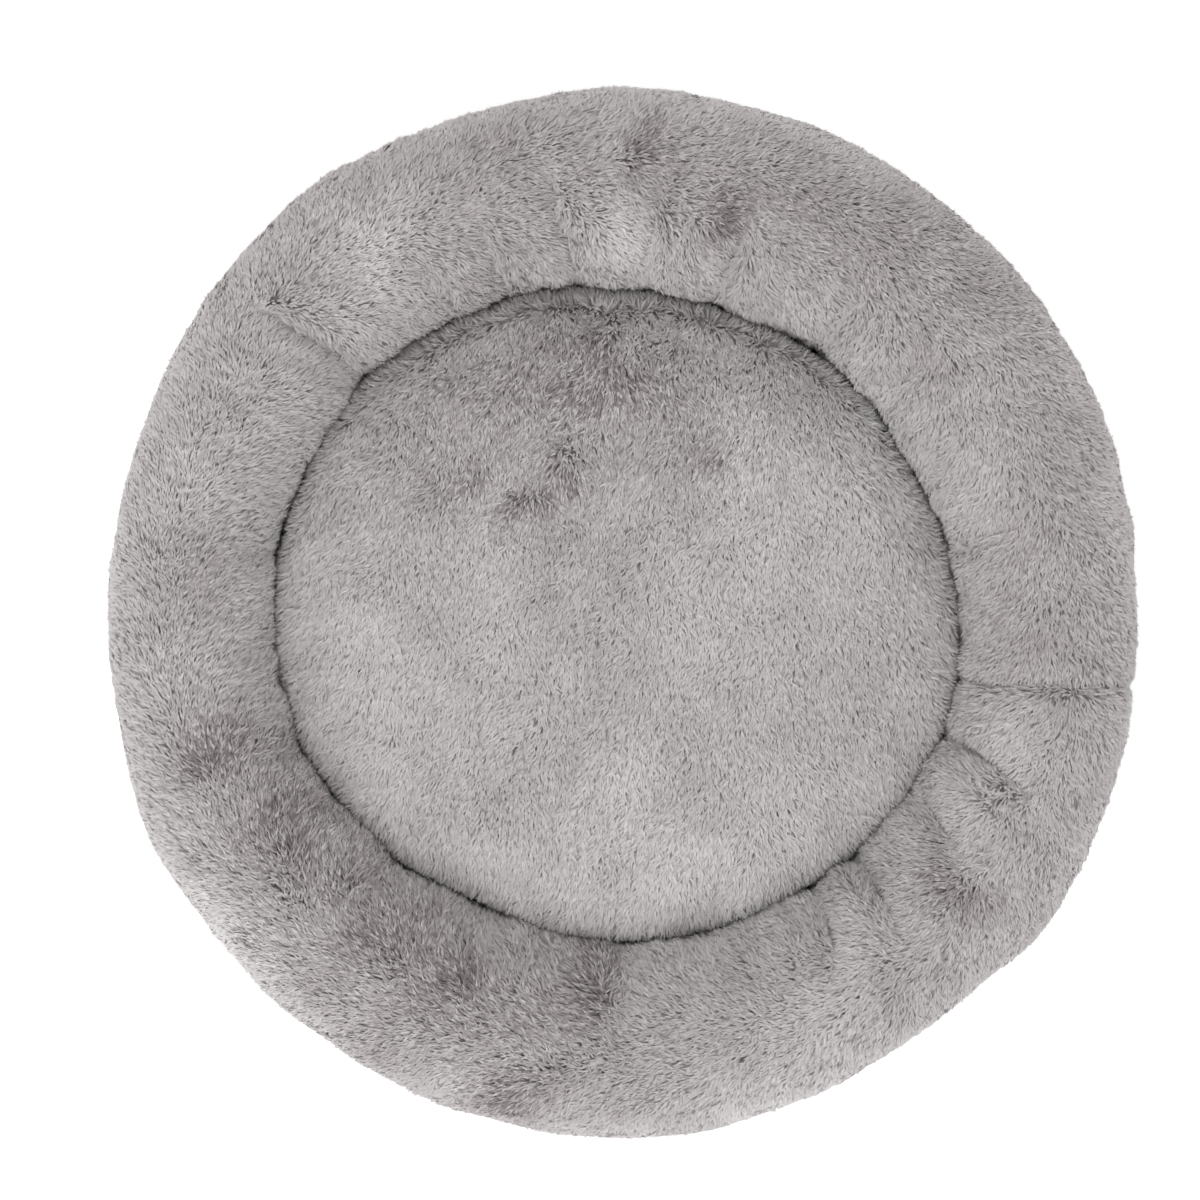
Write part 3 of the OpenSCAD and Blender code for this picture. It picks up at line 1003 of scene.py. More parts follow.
@dataclass
class PileCoat:
    """Grows tufts of plush pile on a soft piece with Geometry Nodes.

    Attributes:
        density: tufts on a square metre.
        length: length of a tuft.
        width: width of a tuft.
        softness: how far the tufts shade as the skin under them does.
        swirl: how strongly broad swirls and small clumps turn the pile.
        swirl_scale: fineness of the swirls.
        clump_scale: fineness of the clumps.
        jitter: how far single tufts stray.
        roll: how far a tuft turns about its own length, in radians.
        painted_root_shade: how much darker a tuft's root is painted, a painted shade where the tufts shade
            each other.
        shades: the fibres' shades, from dark to light.
        materials: their materials.
        tree: the node tree.
    """

    density: float = 950_000.0
    length: float = 9 * MM
    width: float = 1.4 * MM
    softness: float = 0.6
    swirl: float = 0.30
    swirl_scale: float = 34.0
    clump_scale: float = 240.0
    jitter: float = 0.12
    roll: float = 0.7
    painted_root_shade: float = 0.06
    shades: tuple[PileShade, ...] = (
        PileShade("pile_root", (0.212, 0.182, 0.181)),
        PileShade("pile_deep", (0.289, 0.257, 0.256)),
        PileShade("pile_dark", (0.367, 0.336, 0.334)),
        PileShade("pile_shaded", (0.437, 0.409, 0.405)),
        PileShade("pile_middle", (0.499, 0.475, 0.470)),
        PileShade("pile_light", (0.558, 0.536, 0.530)),
        PileShade("pile_pale", (0.620, 0.601, 0.593)),
        PileShade("pile_tip", (0.680, 0.662, 0.653)),
    )
    materials: list[bpy.types.Material] = field(default_factory=list)
    tree: bpy.types.NodeTree | None = None

    def prepare(self) -> None:
        """Makes the shades and the node tree once."""
        self.materials = [shade.material() for shade in self.shades]
        self.tree = self.make_tree()

    def make_tree(self) -> bpy.types.NodeTree:
        """Builds the tree that scatters and bends the tufts.

        Returns:
            The tree, which gives each tuft its shade's material.
        """
        tree, n, given = geometry_tree(
            "plush_pile",
            (
                ("Density", "Float", self.density), ("Length", "Float", self.length),
                ("Width", "Float", self.width), ("From angle", "Float", -math.pi),
                ("To angle", "Float", math.pi), ("Swirl", "Float", self.swirl),
                ("Jitter", "Float", self.jitter), ("Seed", "Int", 1),
            ),
        )
        place = n.add("GeometryNodeInputPosition").outputs[0]
        parts = n.add("ShaderNodeSeparateXYZ", {0: place}).outputs
        turn = n.math("ARCTAN2", parts[1], parts[0])
        inside = n.math(
            "MULTIPLY",
            n.math("GREATER_THAN", turn, given["From angle"]),
            n.math("LESS_THAN", turn, given["To angle"]),
        )
        wanted = n.math(
            "MULTIPLY", n.math("MULTIPLY", self.read(n, "pile_cover"), given["Density"]), inside
        )
        scatter = n.add(
            "GeometryNodeDistributePointsOnFaces",
            {"Mesh": given["Geometry"], "Density": wanted, "Seed": given["Seed"]},
            distribute_method="RANDOM",
        )
        nap = self.read(n, "nap", "FLOAT_VECTOR")
        swirl = n.add("ShaderNodeTexNoise", {"Scale": self.swirl_scale, "Detail": 1.0}).outputs["Color"]
        clump = n.add("ShaderNodeTexNoise", {"Scale": self.clump_scale, "Detail": 0.0}).outputs["Color"]
        jitter = n.add(
            "FunctionNodeRandomValue",
            {0: (-1.0, -1.0, -1.0), 1: (1.0, 1.0, 1.0), "Seed": 5}, data_type="FLOAT_VECTOR",
        ).outputs[0]
        middle = (0.5, 0.5, 0.5)
        wander = n.vector(
            "ADD",
            n.scaled(n.vector("SUBTRACT", swirl, middle), n.math("MULTIPLY", given["Swirl"], 4.0)),
            n.scaled(n.vector("SUBTRACT", clump, middle), n.math("MULTIPLY", given["Swirl"], 3.2)),
        )
        lean = n.vector("ADD", n.vector("ADD", nap, wander), n.scaled(jitter, given["Jitter"]))
        axis = n.vector("NORMALIZE", n.vector("ADD", scatter.outputs["Normal"], lean))
        turned = n.add(
            "FunctionNodeAxesToRotation", {0: axis, 1: lean}, primary_axis="Z", secondary_axis="X"
        ).outputs[0]
        roll = n.add(
            "FunctionNodeAxisAngleToRotation",
            {0: (0.0, 0.0, 1.0), 1: self.chance(n, -self.roll, self.roll, 9)},
        ).outputs[0]
        rolled = n.add(
            "FunctionNodeRotateRotation", {0: turned, 1: roll}, rotation_space="LOCAL"
        ).outputs[0]
        length = n.math(
            "MULTIPLY",
            n.math("MULTIPLY", given["Length"], self.chance(n, 0.85, 1.1, 3)),
            self.read(n, "pile_length"),
        )
        wide = n.math("MULTIPLY", given["Width"], self.chance(n, 0.7, 1.25, 4))
        scale = n.add("ShaderNodeCombineXYZ", {0: length, 1: wide, 2: length}).outputs[0]
        placed = n.add(
            "GeometryNodeInstanceOnPoints",
            {
                "Points": scatter.outputs["Points"], "Instance": self.tuft(n),
                "Rotation": rolled, "Scale": scale,
            },
        ).outputs[0]
        stray = n.math("MULTIPLY", self.chance(n, -1.0, 1.0, 7), self.read(n, "unrest"))
        tone = n.math("ADD", self.read(n, "shade"), stray)
        kept = n.add(
            "GeometryNodeStoreNamedAttribute", {"Geometry": placed, "Name": "tone", "Value": tone},
            data_type="FLOAT", domain="INSTANCE",
        ).outputs[0]
        kept = n.add(
            "GeometryNodeStoreNamedAttribute",
            {"Geometry": kept, "Name": "skin_normal", "Value": scatter.outputs["Normal"]},
            data_type="FLOAT_VECTOR", domain="INSTANCE",
        ).outputs[0]
        real = n.add("GeometryNodeRealizeInstances", {"Geometry": kept}).outputs[0]
        # painted shade: each tuft's root is painted darker, where the tufts shade each other
        shown = n.math(
            "SUBTRACT", self.read(n, "tone"), n.math("MULTIPLY", self.read(n, "root"), self.painted_root_shade)
        )
        for index, material in enumerate(self.materials):
            above = n.add(
                "FunctionNodeCompare", {0: shown, 1: index / len(self.materials) if index else -9.0},
                data_type="FLOAT", operation="GREATER_EQUAL",
            ).outputs[0]
            real = n.add(
                "GeometryNodeSetMaterial", {"Geometry": real, "Selection": above, "Material": material}
            ).outputs[0]
        smooth = n.add("GeometryNodeSetShadeSmooth", {"Geometry": real}).outputs[0]
        for name in ("tone", "root"):
            smooth = n.add("GeometryNodeRemoveAttribute", {"Geometry": smooth, "Name": name}).outputs[0]
        n.add("NodeGroupOutput", {0: smooth})
        return tree

    def soften(self, piece: bpy.types.Object) -> None:
        """Turns the tufts' shading normals towards the skin's, so that they shade as one coat.

        Args:
            piece: a grown pile piece, changed in place.
        """
        mesh = piece.data
        kept = mesh.attributes.get("skin_normal")
        if kept is None:
            return
        flat = np.empty(len(mesh.vertices) * 3, np.float32)
        kept.data.foreach_get("vector", flat)
        skin = flat.reshape(-1, 3)
        mixed = vertex_normals(mesh) * (1.0 - self.softness) + skin * self.softness
        mixed /= np.maximum(np.linalg.norm(mixed, axis=1), 1e-6)[:, None]
        mesh.normals_split_custom_set_from_vertices(mixed.tolist())

    @staticmethod
    def mark(
        piece: bpy.types.Object, nap: Points, cover: Points, shade: Points, unrest: Points,
        length: Points | None = None,
    ) -> None:
        """Keeps what the pile reads on a soft piece.

        Args:
            piece: the soft piece.
            nap: which way the pile leans at each vertex, and how far.
            cover: how thick the pile grows there, from 0 to 1.
            shade: how light it is there, from 0 to 1.
            unrest: how much one tuft's shade differs from the next there.
            length: how long it is there, as a share of its full length.
        """
        store(piece.data, "nap", nap)
        store(piece.data, "pile_cover", cover)
        store(piece.data, "pile_length", np.ones(len(cover)) if length is None else length)
        store(piece.data, "shade", shade)
        store(piece.data, "unrest", unrest)

    @staticmethod
    def read(n: Nodes, name: str, kind: str = "FLOAT") -> bpy.types.NodeSocket:
        """Reads a number or a vector kept on the mesh."""
        return n.add("GeometryNodeInputNamedAttribute", {"Name": name}, data_type=kind).outputs[0]

    @staticmethod
    def chance(n: Nodes, low: float, high: float, seed: int) -> bpy.types.NodeSocket:
        """A random number for each tuft."""
        return n.add(
            "FunctionNodeRandomValue", {2: low, 3: high, "Seed": seed}, data_type="FLOAT"
        ).outputs[1]

    @staticmethod
    def tuft(n: Nodes) -> bpy.types.NodeSocket:
        """Makes one tuft of unit length and width, its root marked.

        Args:
            n: the node maker.

        Returns:
            A leaf that tapers and curls over.
        """
        strip = n.add("GeometryNodeMeshGrid", {0: 1.0, 1: 1.0, 2: 3, 3: 2})
        place = n.add("GeometryNodeInputPosition").outputs[0]
        parts = n.add("ShaderNodeSeparateXYZ", {0: place}).outputs
        t = n.math("ADD", parts[0], 0.5)
        root = n.math("LESS_THAN", t, 0.4)
        marked = n.add(
            "GeometryNodeStoreNamedAttribute", {"Geometry": strip.outputs[0], "Name": "root", "Value": root},
            data_type="FLOAT", domain="FACE",
        ).outputs[0]
        belly = n.math("MINIMUM", n.math("MULTIPLY", n.math("SUBTRACT", 1.0, t), 2.0), 1.0)
        side = n.math("MULTIPLY", parts[1], belly)
        bow = n.math("MULTIPLY", n.math("POWER", t, 2.0), 0.45)
        rise = n.math("SUBTRACT", n.math("POWER", t, 0.8), n.math("MULTIPLY", n.math("POWER", t, 3.0), 0.12))
        spot = n.add("ShaderNodeCombineXYZ", {0: bow, 1: side, 2: rise}).outputs[0]
        bent = n.add("GeometryNodeSetPosition", {"Geometry": marked, "Position": spot}).outputs[0]
        return n.add("GeometryNodeMergeByDistance", {"Geometry": bent, "Distance": 0.0001}).outputs[0]

    def grow(
        self, skin: bpy.types.Object, name: str, body: str, sectors: int, length: float, seed: int
    ) -> list[bpy.types.Object]:
        """Grows the pile on a skin, one piece for each sector.

        Args:
            skin: the soft piece, with nap, pile_cover, pile_length and shade on its vertices.
            name: the pieces' name.
            body: the CAD body they ride on.
            sectors: how many pieces to split the pile into.
            length: length of a tuft.
            seed: picks the scatter.

        Returns:
            The pile pieces.
        """
        made = []
        for index in range(sectors):
            carrier = bpy.data.objects.new(f"{name}_{index + 1}", skin.data.copy())
            bpy.context.scene.collection.objects.link(carrier)
            low = -math.pi + 2 * math.pi * index / sectors
            values = {
                "From angle": low, "To angle": low + 2 * math.pi / sectors,
                "Length": length, "Seed": seed + index,
            }
            run_tree(carrier, self.tree, values)
            self.soften(carrier)
            forget(carrier.data, (*PILE_READS, "skin_normal"))
            log.info("%s has %d faces", carrier.name, len(carrier.data.polygons))
            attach(carrier, body)
            made.append(carrier)
        return made


# ---------------------------------------------------------------------------------------------
# Finishes


class Lay(Enum):
    """How a cloth's threads lie on its piece."""

    FLAT = "along x and y"
    AROUND = "round the bed's axis and up"


class SharedEffects:
    """Shader node groups that several finishes use, each built once."""

    def __init__(self) -> None:
        """Builds the groups."""
        self.weave = self.make_weave()
        self.mottle = self.make_mottle()
        self.lay_around = self.make_lay_around()

    @staticmethod
    def group(
        name: str, inputs: dict[str, tuple[str, Any]], outputs: dict[str, str]
    ) -> tuple[bpy.types.NodeTree, Nodes, Any]:
        """Starts a node group.

        Args:
            name: the group's name.
            inputs: each input's name, with its kind of socket and its value.
            outputs: each output's name, with its kind of socket.

        Returns:
            The tree, its node maker and its input sockets.
        """
        tree = bpy.data.node_groups.new(name, "ShaderNodeTree")
        for label, (kind, value) in inputs.items():
            socket = tree.interface.new_socket(label, in_out="INPUT", socket_type=f"NodeSocket{kind}")
            if value is not None:
                socket.default_value = value
        for label, kind in outputs.items():
            tree.interface.new_socket(label, in_out="OUTPUT", socket_type=f"NodeSocket{kind}")
        n = Nodes(tree)
        return tree, n, n.add("NodeGroupInput").outputs

    def make_weave(self) -> bpy.types.NodeTree:
        """Builds a plain weave, whose threads go over and under each other.

        Returns:
            The group, which gives a height and a shade for each thread.
        """
        tree, n, given = self.group(
            "plain_weave",
            {"Place": ("Vector", None), "Threads": ("Float", 1200.0), "Stretch": ("Float", 1.0)},
            {"Height": "Float", "Thread": "Float"},
        )
        parts = n.add("ShaderNodeSeparateXYZ", {0: n.scaled(given["Place"], given["Threads"])}).outputs
        wobble = n.add("ShaderNodeTexNoise", {"Vector": given["Place"], "Scale": 300.0}).outputs[0]
        u = n.math("ADD", n.math("MULTIPLY", parts[0], given["Stretch"]), n.math("MULTIPLY", wobble, 0.5))
        v = n.math("ADD", parts[1], n.math("MULTIPLY", wobble, 0.4))
        warp = n.math("ABSOLUTE", n.math("SINE", n.math("MULTIPLY", u, math.pi)))
        weft = n.math("ABSOLUTE", n.math("SINE", n.math("MULTIPLY", v, math.pi)))
        column, row = n.math("FLOOR", u), n.math("FLOOR", v)
        over = n.math("FLOORED_MODULO", n.math("ADD", column, row), 2.0)
        upper = n.math("MULTIPLY", warp, n.math("ADD", n.math("MULTIPLY", weft, 0.5), 0.5))
        lower = n.math("MULTIPLY", weft, n.math("ADD", n.math("MULTIPLY", warp, 0.5), 0.5))
        height = n.add("ShaderNodeMix", {0: over, 2: lower, 3: upper}, data_type="FLOAT").outputs[0]
        by_column = n.add("ShaderNodeTexWhiteNoise", {"W": column}, noise_dimensions="1D").outputs[0]
        by_row = n.add(
            "ShaderNodeTexWhiteNoise", {"W": n.math("ADD", row, 0.5)}, noise_dimensions="1D"
        ).outputs[0]
        thread = n.add("ShaderNodeMix", {0: over, 2: by_row, 3: by_column}, data_type="FLOAT").outputs[0]
        n.add("NodeGroupOutput", {"Height": height, "Thread": thread})
        return tree

    def make_mottle(self) -> bpy.types.NodeTree:
        """Builds soft blotches at two sizes, as handling and dust leave them.

        Returns:
            The group, which gives the blotches and a few specks.
        """
        tree, n, given = self.group(
            "mottle",
            {"Place": ("Vector", None), "Broad": ("Float", 18.0), "Fine": ("Float", 140.0)},
            {"Value": "Float", "Specks": "Float"},
        )
        broad = n.add(
            "ShaderNodeTexNoise", {"Vector": given["Place"], "Scale": given["Broad"], "Detail": 2.0}
        ).outputs[0]
        fine = n.add(
            "ShaderNodeTexNoise", {"Vector": given["Place"], "Scale": given["Fine"], "Detail": 4.0}
        ).outputs[0]
        value = n.math("ADD", n.math("MULTIPLY", broad, 0.6), n.math("MULTIPLY", fine, 0.4))
        specks = n.add(
            "ShaderNodeMapRange", {0: fine, 1: 0.62, 2: 0.72, 3: 0.0, 4: 1.0}
        ).outputs[0]
        n.add("NodeGroupOutput", {"Value": value, "Specks": specks})
        return tree

    def make_lay_around(self) -> bpy.types.NodeTree:
        """Builds the group that lays a pattern round the bed's axis.

        Returns:
            The group, which gives the way round, the height and the radius of a place.
        """
        tree, n, given = self.group(
            "lay_around", {"Place": ("Vector", None), "Radius": ("Float", BAND_RADIUS)}, {"Place": "Vector"}
        )
        parts = n.add("ShaderNodeSeparateXYZ", {0: given["Place"]}).outputs
        turn = n.math("MULTIPLY", n.math("ARCTAN2", parts[1], parts[0]), given["Radius"])
        radius = n.math(
            "SQRT",
            n.math("ADD", n.math("MULTIPLY", parts[0], parts[0]), n.math("MULTIPLY", parts[1], parts[1])),
        )
        laid = n.add("ShaderNodeCombineXYZ", {0: turn, 1: parts[2], 2: radius}).outputs[0]
        n.add("NodeGroupOutput", {0: laid})
        return tree


@dataclass(frozen=True)
class Finish:
    """What every finish has.

    Attributes:
        name: the material's name.
        dark: the colour in its hollows, there a painted shade, or at the dark end of its blotches.
        light: the colour on its heights, or at the light end of its blotches.
        roughness: how matt it is.
    """

    name: str
    dark: tuple[float, float, float]
    light: tuple[float, float, float]
    roughness: float = 0.9

    def start(self) -> tuple[bpy.types.Material, Nodes, Any]:
        """Makes an empty material, its node maker and its shader's inputs."""
        made = bpy.data.materials.new(self.name)
        made.use_nodes = True
        inputs = made.node_tree.nodes["Principled BSDF"].inputs
        inputs["Roughness"].default_value = self.roughness
        return made, Nodes(made.node_tree), inputs

    def place(self, n: Nodes, effects: SharedEffects, lay: Lay) -> bpy.types.NodeSocket:
        """The coordinates that the pattern reads, for the way it lies."""
        given = n.add("ShaderNodeTexCoord").outputs["Object"]
        if lay is Lay.FLAT:
            return given
        return n.add("ShaderNodeGroup", {"Place": given}, node_tree=effects.lay_around).outputs[0]

    def colour(self, n: Nodes, value: Any, low: float = 0.0, high: float = 1.0) -> bpy.types.NodeSocket:
        """Spreads a value over the finish's two colours."""
        ramp = n.add("ShaderNodeValToRGB", {0: value})
        first, last = ramp.color_ramp.elements
        first.position, last.position = low, high
        first.color, last.color = (*self.dark, 1.0), (*self.light, 1.0)
        return ramp.outputs[0]

    @staticmethod
    def mottle(n: Nodes, effects: SharedEffects, place: Any, **sizes: float) -> Any:
        """Reads the shared blotches at a place, at their own or the given sizes."""
        return n.add("ShaderNodeGroup", {"Place": place, **sizes}, node_tree=effects.mottle).outputs

    @staticmethod
    def bump(n: Nodes, inputs: Any, height: Any, distance: float) -> None:
        """Raises the surface by a height."""
        node = n.add("ShaderNodeBump", {"Height": height, "Strength": 1.0, "Distance": distance})
        n.tree.links.new(node.outputs[0], inputs["Normal"])

    @staticmethod
    def roughen(
        n: Nodes, inputs: Any, value: Any, low: float, high: float, span: tuple[float, float] = (0.0, 1.0)
    ) -> None:
        """Varies the roughness with a value.

        Args:
            n: the node maker.
            inputs: the shader's inputs.
            value: the value.
            low: roughness where it is at the span's start.
            high: roughness where it is at the span's end.
            span: the values to spread.
        """
        node = n.add("ShaderNodeMapRange", {0: value, 1: span[0], 2: span[1], 3: low, 4: high})
        n.tree.links.new(node.outputs[0], inputs["Roughness"])


@dataclass(frozen=True)
class PlushBacking(Finish):
    """The knitted backing under the pile, with the roots of the fibres."""

    def material(self, effects: SharedEffects) -> bpy.types.Material:
        """Makes the material.

        Args:
            effects: the shared node groups.

        Returns:
            The new material.
        """
        made, n, inputs = self.start()
        place = self.place(n, effects, Lay.FLAT)
        blotches = self.mottle(n, effects, place, Broad=40.0, Fine=420.0)["Value"]
        roots = n.add("ShaderNodeTexVoronoi", {"Vector": place, "Scale": 620.0}).outputs["Distance"]
        value = n.math("SUBTRACT", blotches, n.math("MULTIPLY", roots, 0.25))
        n.tree.links.new(self.colour(n, value, 0.22, 0.62), inputs["Base Color"])
        self.roughen(n, inputs, blotches, 0.88, 1.0)
        inputs["Specular IOR Level"].default_value = 0.15
        inputs["Sheen Weight"].default_value = 0.2
        self.bump(n, inputs, roots, 0.6 * MM)
        return made


@dataclass(frozen=True)
class WovenCloth(Finish):
    """A plain woven cloth.

    Attributes:
        threads: threads in a metre.
        lay: how they lie.
        relief: how far they stand up.
        dusty: how strongly specks of lint show.
        sheen: how strongly its fuzz catches light.
    """

    threads: float = 1250.0
    lay: Lay = Lay.FLAT
    relief: float = 0.25 * MM
    dusty: float = 0.12
    sheen: float = 0.15

    def material(self, effects: SharedEffects) -> bpy.types.Material:
        """Makes the material.

        Args:
            effects: the shared node groups.

        Returns:
            The new material.
        """
        made, n, inputs = self.start()
        place = self.place(n, effects, self.lay)
        weave = n.add(
            "ShaderNodeGroup", {"Place": place, "Threads": self.threads}, node_tree=effects.weave
        ).outputs
        mottle = self.mottle(n, effects, place)
        # painted shade: the weave's low places are painted darker, over each thread's own tone and the
        # blotches
        value = n.math(
            "ADD",
            n.math("MULTIPLY", weave["Height"], 0.5),
            n.math(
                "ADD", n.math("MULTIPLY", weave["Thread"], 0.22), n.math("MULTIPLY", mottle["Value"], 0.5)
            ),
        )
        base = self.colour(n, value, 0.25, 0.95)
        lint = n.math("MULTIPLY", mottle["Specks"], self.dusty)
        mixed = n.add(
            "ShaderNodeMix", {0: lint, 6: base, 7: (0.55, 0.54, 0.52, 1.0)}, data_type="RGBA"
        ).outputs[2]
        n.tree.links.new(mixed, inputs["Base Color"])
        self.roughen(n, inputs, weave["Height"], 0.97, self.roughness - 0.1)
        inputs["Specular IOR Level"].default_value = 0.25
        inputs["Sheen Weight"].default_value = self.sheen
        self.bump(n, inputs, weave["Height"], self.relief)
        return made


@dataclass(frozen=True)
class RibbedTape(Finish):
    """A narrow tape with ribs across it, such as the binding and the zip's tapes.

    Attributes:
        ribs: ribs in a metre.
        slant: how far each rib slants across the tape.
        relief: how far the ribs stand up.
    """

    ribs: float = 900.0
    slant: float = 0.0
    relief: float = 0.25 * MM

    def material(self, effects: SharedEffects) -> bpy.types.Material:
        """Makes the material.

        Args:
            effects: the shared node groups.

        Returns:
            The new material.
        """
        made, n, inputs = self.start()
        parts = n.add("ShaderNodeSeparateXYZ", {0: self.place(n, effects, Lay.AROUND)}).outputs
        row = n.math("FRACT", n.math("MULTIPLY", parts[1], 260.0))
        across = n.math("ABSOLUTE", n.math("SUBTRACT", row, 0.5))
        along = n.math(
            "ADD", n.math("MULTIPLY", parts[0], self.ribs), n.math("MULTIPLY", across, self.slant)
        )
        rib = n.math("ABSOLUTE", n.math("SINE", n.math("MULTIPLY", along, math.pi)))
        blotches = self.mottle(n, effects, self.place(n, effects, Lay.FLAT))["Value"]
        # painted shade: the grooves between the ribs are painted darker, over the blotches
        value = n.math("ADD", n.math("MULTIPLY", rib, 0.55), n.math("MULTIPLY", blotches, 0.6))
        n.tree.links.new(self.colour(n, value, 0.2, 1.0), inputs["Base Color"])
        self.roughen(n, inputs, rib, 0.95, self.roughness - 0.15)
        inputs["Sheen Weight"].default_value = 0.1
        self.bump(n, inputs, rib, self.relief)
        return made


@dataclass(frozen=True)
class Thread(Finish):
    """Twisted sewing thread."""

    def material(self, effects: SharedEffects) -> bpy.types.Material:
        """Makes the material.

        Args:
            effects: the shared node groups.

        Returns:
            The new material.
        """
        made, n, inputs = self.start()
        parts = n.add("ShaderNodeSeparateXYZ", {0: self.place(n, effects, Lay.AROUND)}).outputs
        ply = n.math("ADD", n.math("MULTIPLY", parts[0], 1800.0), n.math("MULTIPLY", parts[1], 2600.0))
        twist = n.math("ABSOLUTE", n.math("SINE", ply))
        # painted shade: the grooves of the twist are painted darker
        n.tree.links.new(self.colour(n, twist), inputs["Base Color"])
        self.roughen(n, inputs, twist, 0.9, 0.6)
        self.bump(n, inputs, twist, 0.12 * MM)
        return made


@dataclass(frozen=True)
class MouldedRubber(Finish):
    """Soft rubber, dull and a little dusty."""

    def material(self, effects: SharedEffects) -> bpy.types.Material:
        """Makes the material.

        Args:
            effects: the shared node groups.

        Returns:
            The new material.
        """
        made, n, inputs = self.start()
        blotches = self.mottle(n, effects, self.place(n, effects, Lay.FLAT), Fine=900.0)["Value"]
        n.tree.links.new(self.colour(n, blotches, 0.3, 0.75), inputs["Base Color"])
        self.roughen(n, inputs, blotches, 0.55, 0.9)
        self.bump(n, inputs, blotches, 0.08 * MM)
        return made


@dataclass(frozen=True)
class NylonCoil(Finish):
    """Glossy nylon, a little cloudy."""

    def material(self, effects: SharedEffects) -> bpy.types.Material:
        """Makes the material.

        Args:
            effects: the shared node groups.

        Returns:
            The new material.
        """
        made, n, inputs = self.start()
        blotches = self.mottle(n, effects, self.place(n, effects, Lay.FLAT), Broad=90.0)["Value"]
        n.tree.links.new(self.colour(n, blotches, 0.3, 0.7), inputs["Base Color"])
        self.roughen(n, inputs, blotches, 0.28, 0.5)
        inputs["Coat Weight"].default_value = 0.2
        return made


@dataclass(frozen=True)
class CastMetal(Finish):
    """Plated die-cast metal with fine casting grain and rubbed patches."""

    def material(self, effects: SharedEffects) -> bpy.types.Material:
        """Makes the material.

        Args:
            effects: the shared node groups.

        Returns:
            The new material.
        """
        made, n, inputs = self.start()
        place = self.place(n, effects, Lay.FLAT)
        blotches = self.mottle(n, effects, place, Broad=260.0, Fine=2600.0)["Value"]
        n.tree.links.new(self.colour(n, blotches, 0.3, 0.7), inputs["Base Color"])
        self.roughen(n, inputs, blotches, 0.22, 0.5, (0.35, 0.65))
        inputs["Metallic"].default_value = 1.0
        self.bump(n, inputs, blotches, 0.05 * MM)
        return made


@dataclass(frozen=True)
class FibreFilling(Finish):
    """Loose white polyester fibre."""

    def material(self, effects: SharedEffects) -> bpy.types.Material:
        """Makes the material.

        Args:
            effects: the shared node groups.

        Returns:
            The new material.
        """
        made, n, inputs = self.start()
        place = self.place(n, effects, Lay.FLAT)
        drawn = n.add("ShaderNodeMapping", {"Vector": place, "Scale": (1.0, 5.0, 2.0)}).outputs[0]
        strands = n.add(
            "ShaderNodeTexNoise", {"Vector": drawn, "Scale": 160.0, "Detail": 6.0, "Distortion": 2.0}
        ).outputs[0]
        # painted shade: the gaps between the strands are painted greyer than the white fibre
        n.tree.links.new(self.colour(n, strands, 0.3, 0.6), inputs["Base Color"])
        self.roughen(n, inputs, strands, 1.0, 0.85)
        self.bump(n, inputs, strands, 1.5 * MM)
        return made


class Finishes:
    """All the bed's materials, made once."""

    def __init__(self) -> None:
        """Makes the shared effects and the materials."""
        fx = SharedEffects()
        self.backing = PlushBacking("plush_backing", (0.42, 0.388, 0.380), (0.57, 0.542, 0.532)).material(fx)
        self.base_cloth = WovenCloth("base_cloth", (0.055, 0.054, 0.056), (0.16, 0.158, 0.162)).material(fx)
        self.band_cloth = WovenCloth(
            "band_cloth", (0.06, 0.059, 0.061), (0.175, 0.172, 0.176), lay=Lay.AROUND
        ).material(fx)
        self.lining = WovenCloth(
            "lining_cloth", (0.27, 0.26, 0.255), (0.47, 0.455, 0.445), threads=1600.0, relief=0.18 * MM
        ).material(fx)
        self.binding = RibbedTape("binding_tape", (0.10, 0.098, 0.098), (0.23, 0.225, 0.225)).material(fx)
        self.zip_tape = RibbedTape(
            "zip_tape", (0.11, 0.108, 0.108), (0.26, 0.255, 0.255), ribs=1400.0, slant=2.0
        ).material(fx)
        self.thread = Thread("sewing_thread", (0.20, 0.195, 0.19), (0.42, 0.41, 0.40)).material(fx)
        self.rubber = MouldedRubber("grip_rubber", (0.012, 0.012, 0.013), (0.04, 0.04, 0.042)).material(fx)
        self.coil = NylonCoil("zip_coil", (0.05, 0.05, 0.052), (0.12, 0.12, 0.124)).material(fx)
        self.metal = CastMetal("zip_metal", (0.34, 0.34, 0.35), (0.62, 0.62, 0.63)).material(fx)
        self.filling = FibreFilling("fibre_filling", (0.62, 0.62, 0.60), (0.88, 0.88, 0.86)).material(fx)


# ---------------------------------------------------------------------------------------------
# Base, edges and zip


def turned_grid(
    name: str, radius: Points, height: Points, directions: Points, closed: bool, window: Points | None = None
) -> bpy.types.Object:
    """Makes a sheet turned round the bed's axis.

    Args:
        name: the piece's name.
        radius: radius of each place, shaped (directions, rows).
        height: height of each place, shaped the same.
        directions: direction of each column, in degrees.
        closed: whether the last column joins the first.
        window: true where a face is left out, shaped (faces round, rows - 1).

    Returns:
        The sheet, whose faces look outwards where its rows go up.
    """
    columns, rows = radius.shape
    points = turned_places(radius, height, np.radians(directions)[:, None])
    spans = columns if closed else columns - 1
    faces = [
        (i * rows + j, (i + 1) % columns * rows + j, (i + 1) % columns * rows + j + 1, i * rows + j + 1)
        for i in range(spans) for j in range(rows - 1)
        if window is None or not window[i, j]
    ]
    piece = new_mesh(name, points, faces)
    shade_smooth(piece)
    return piece


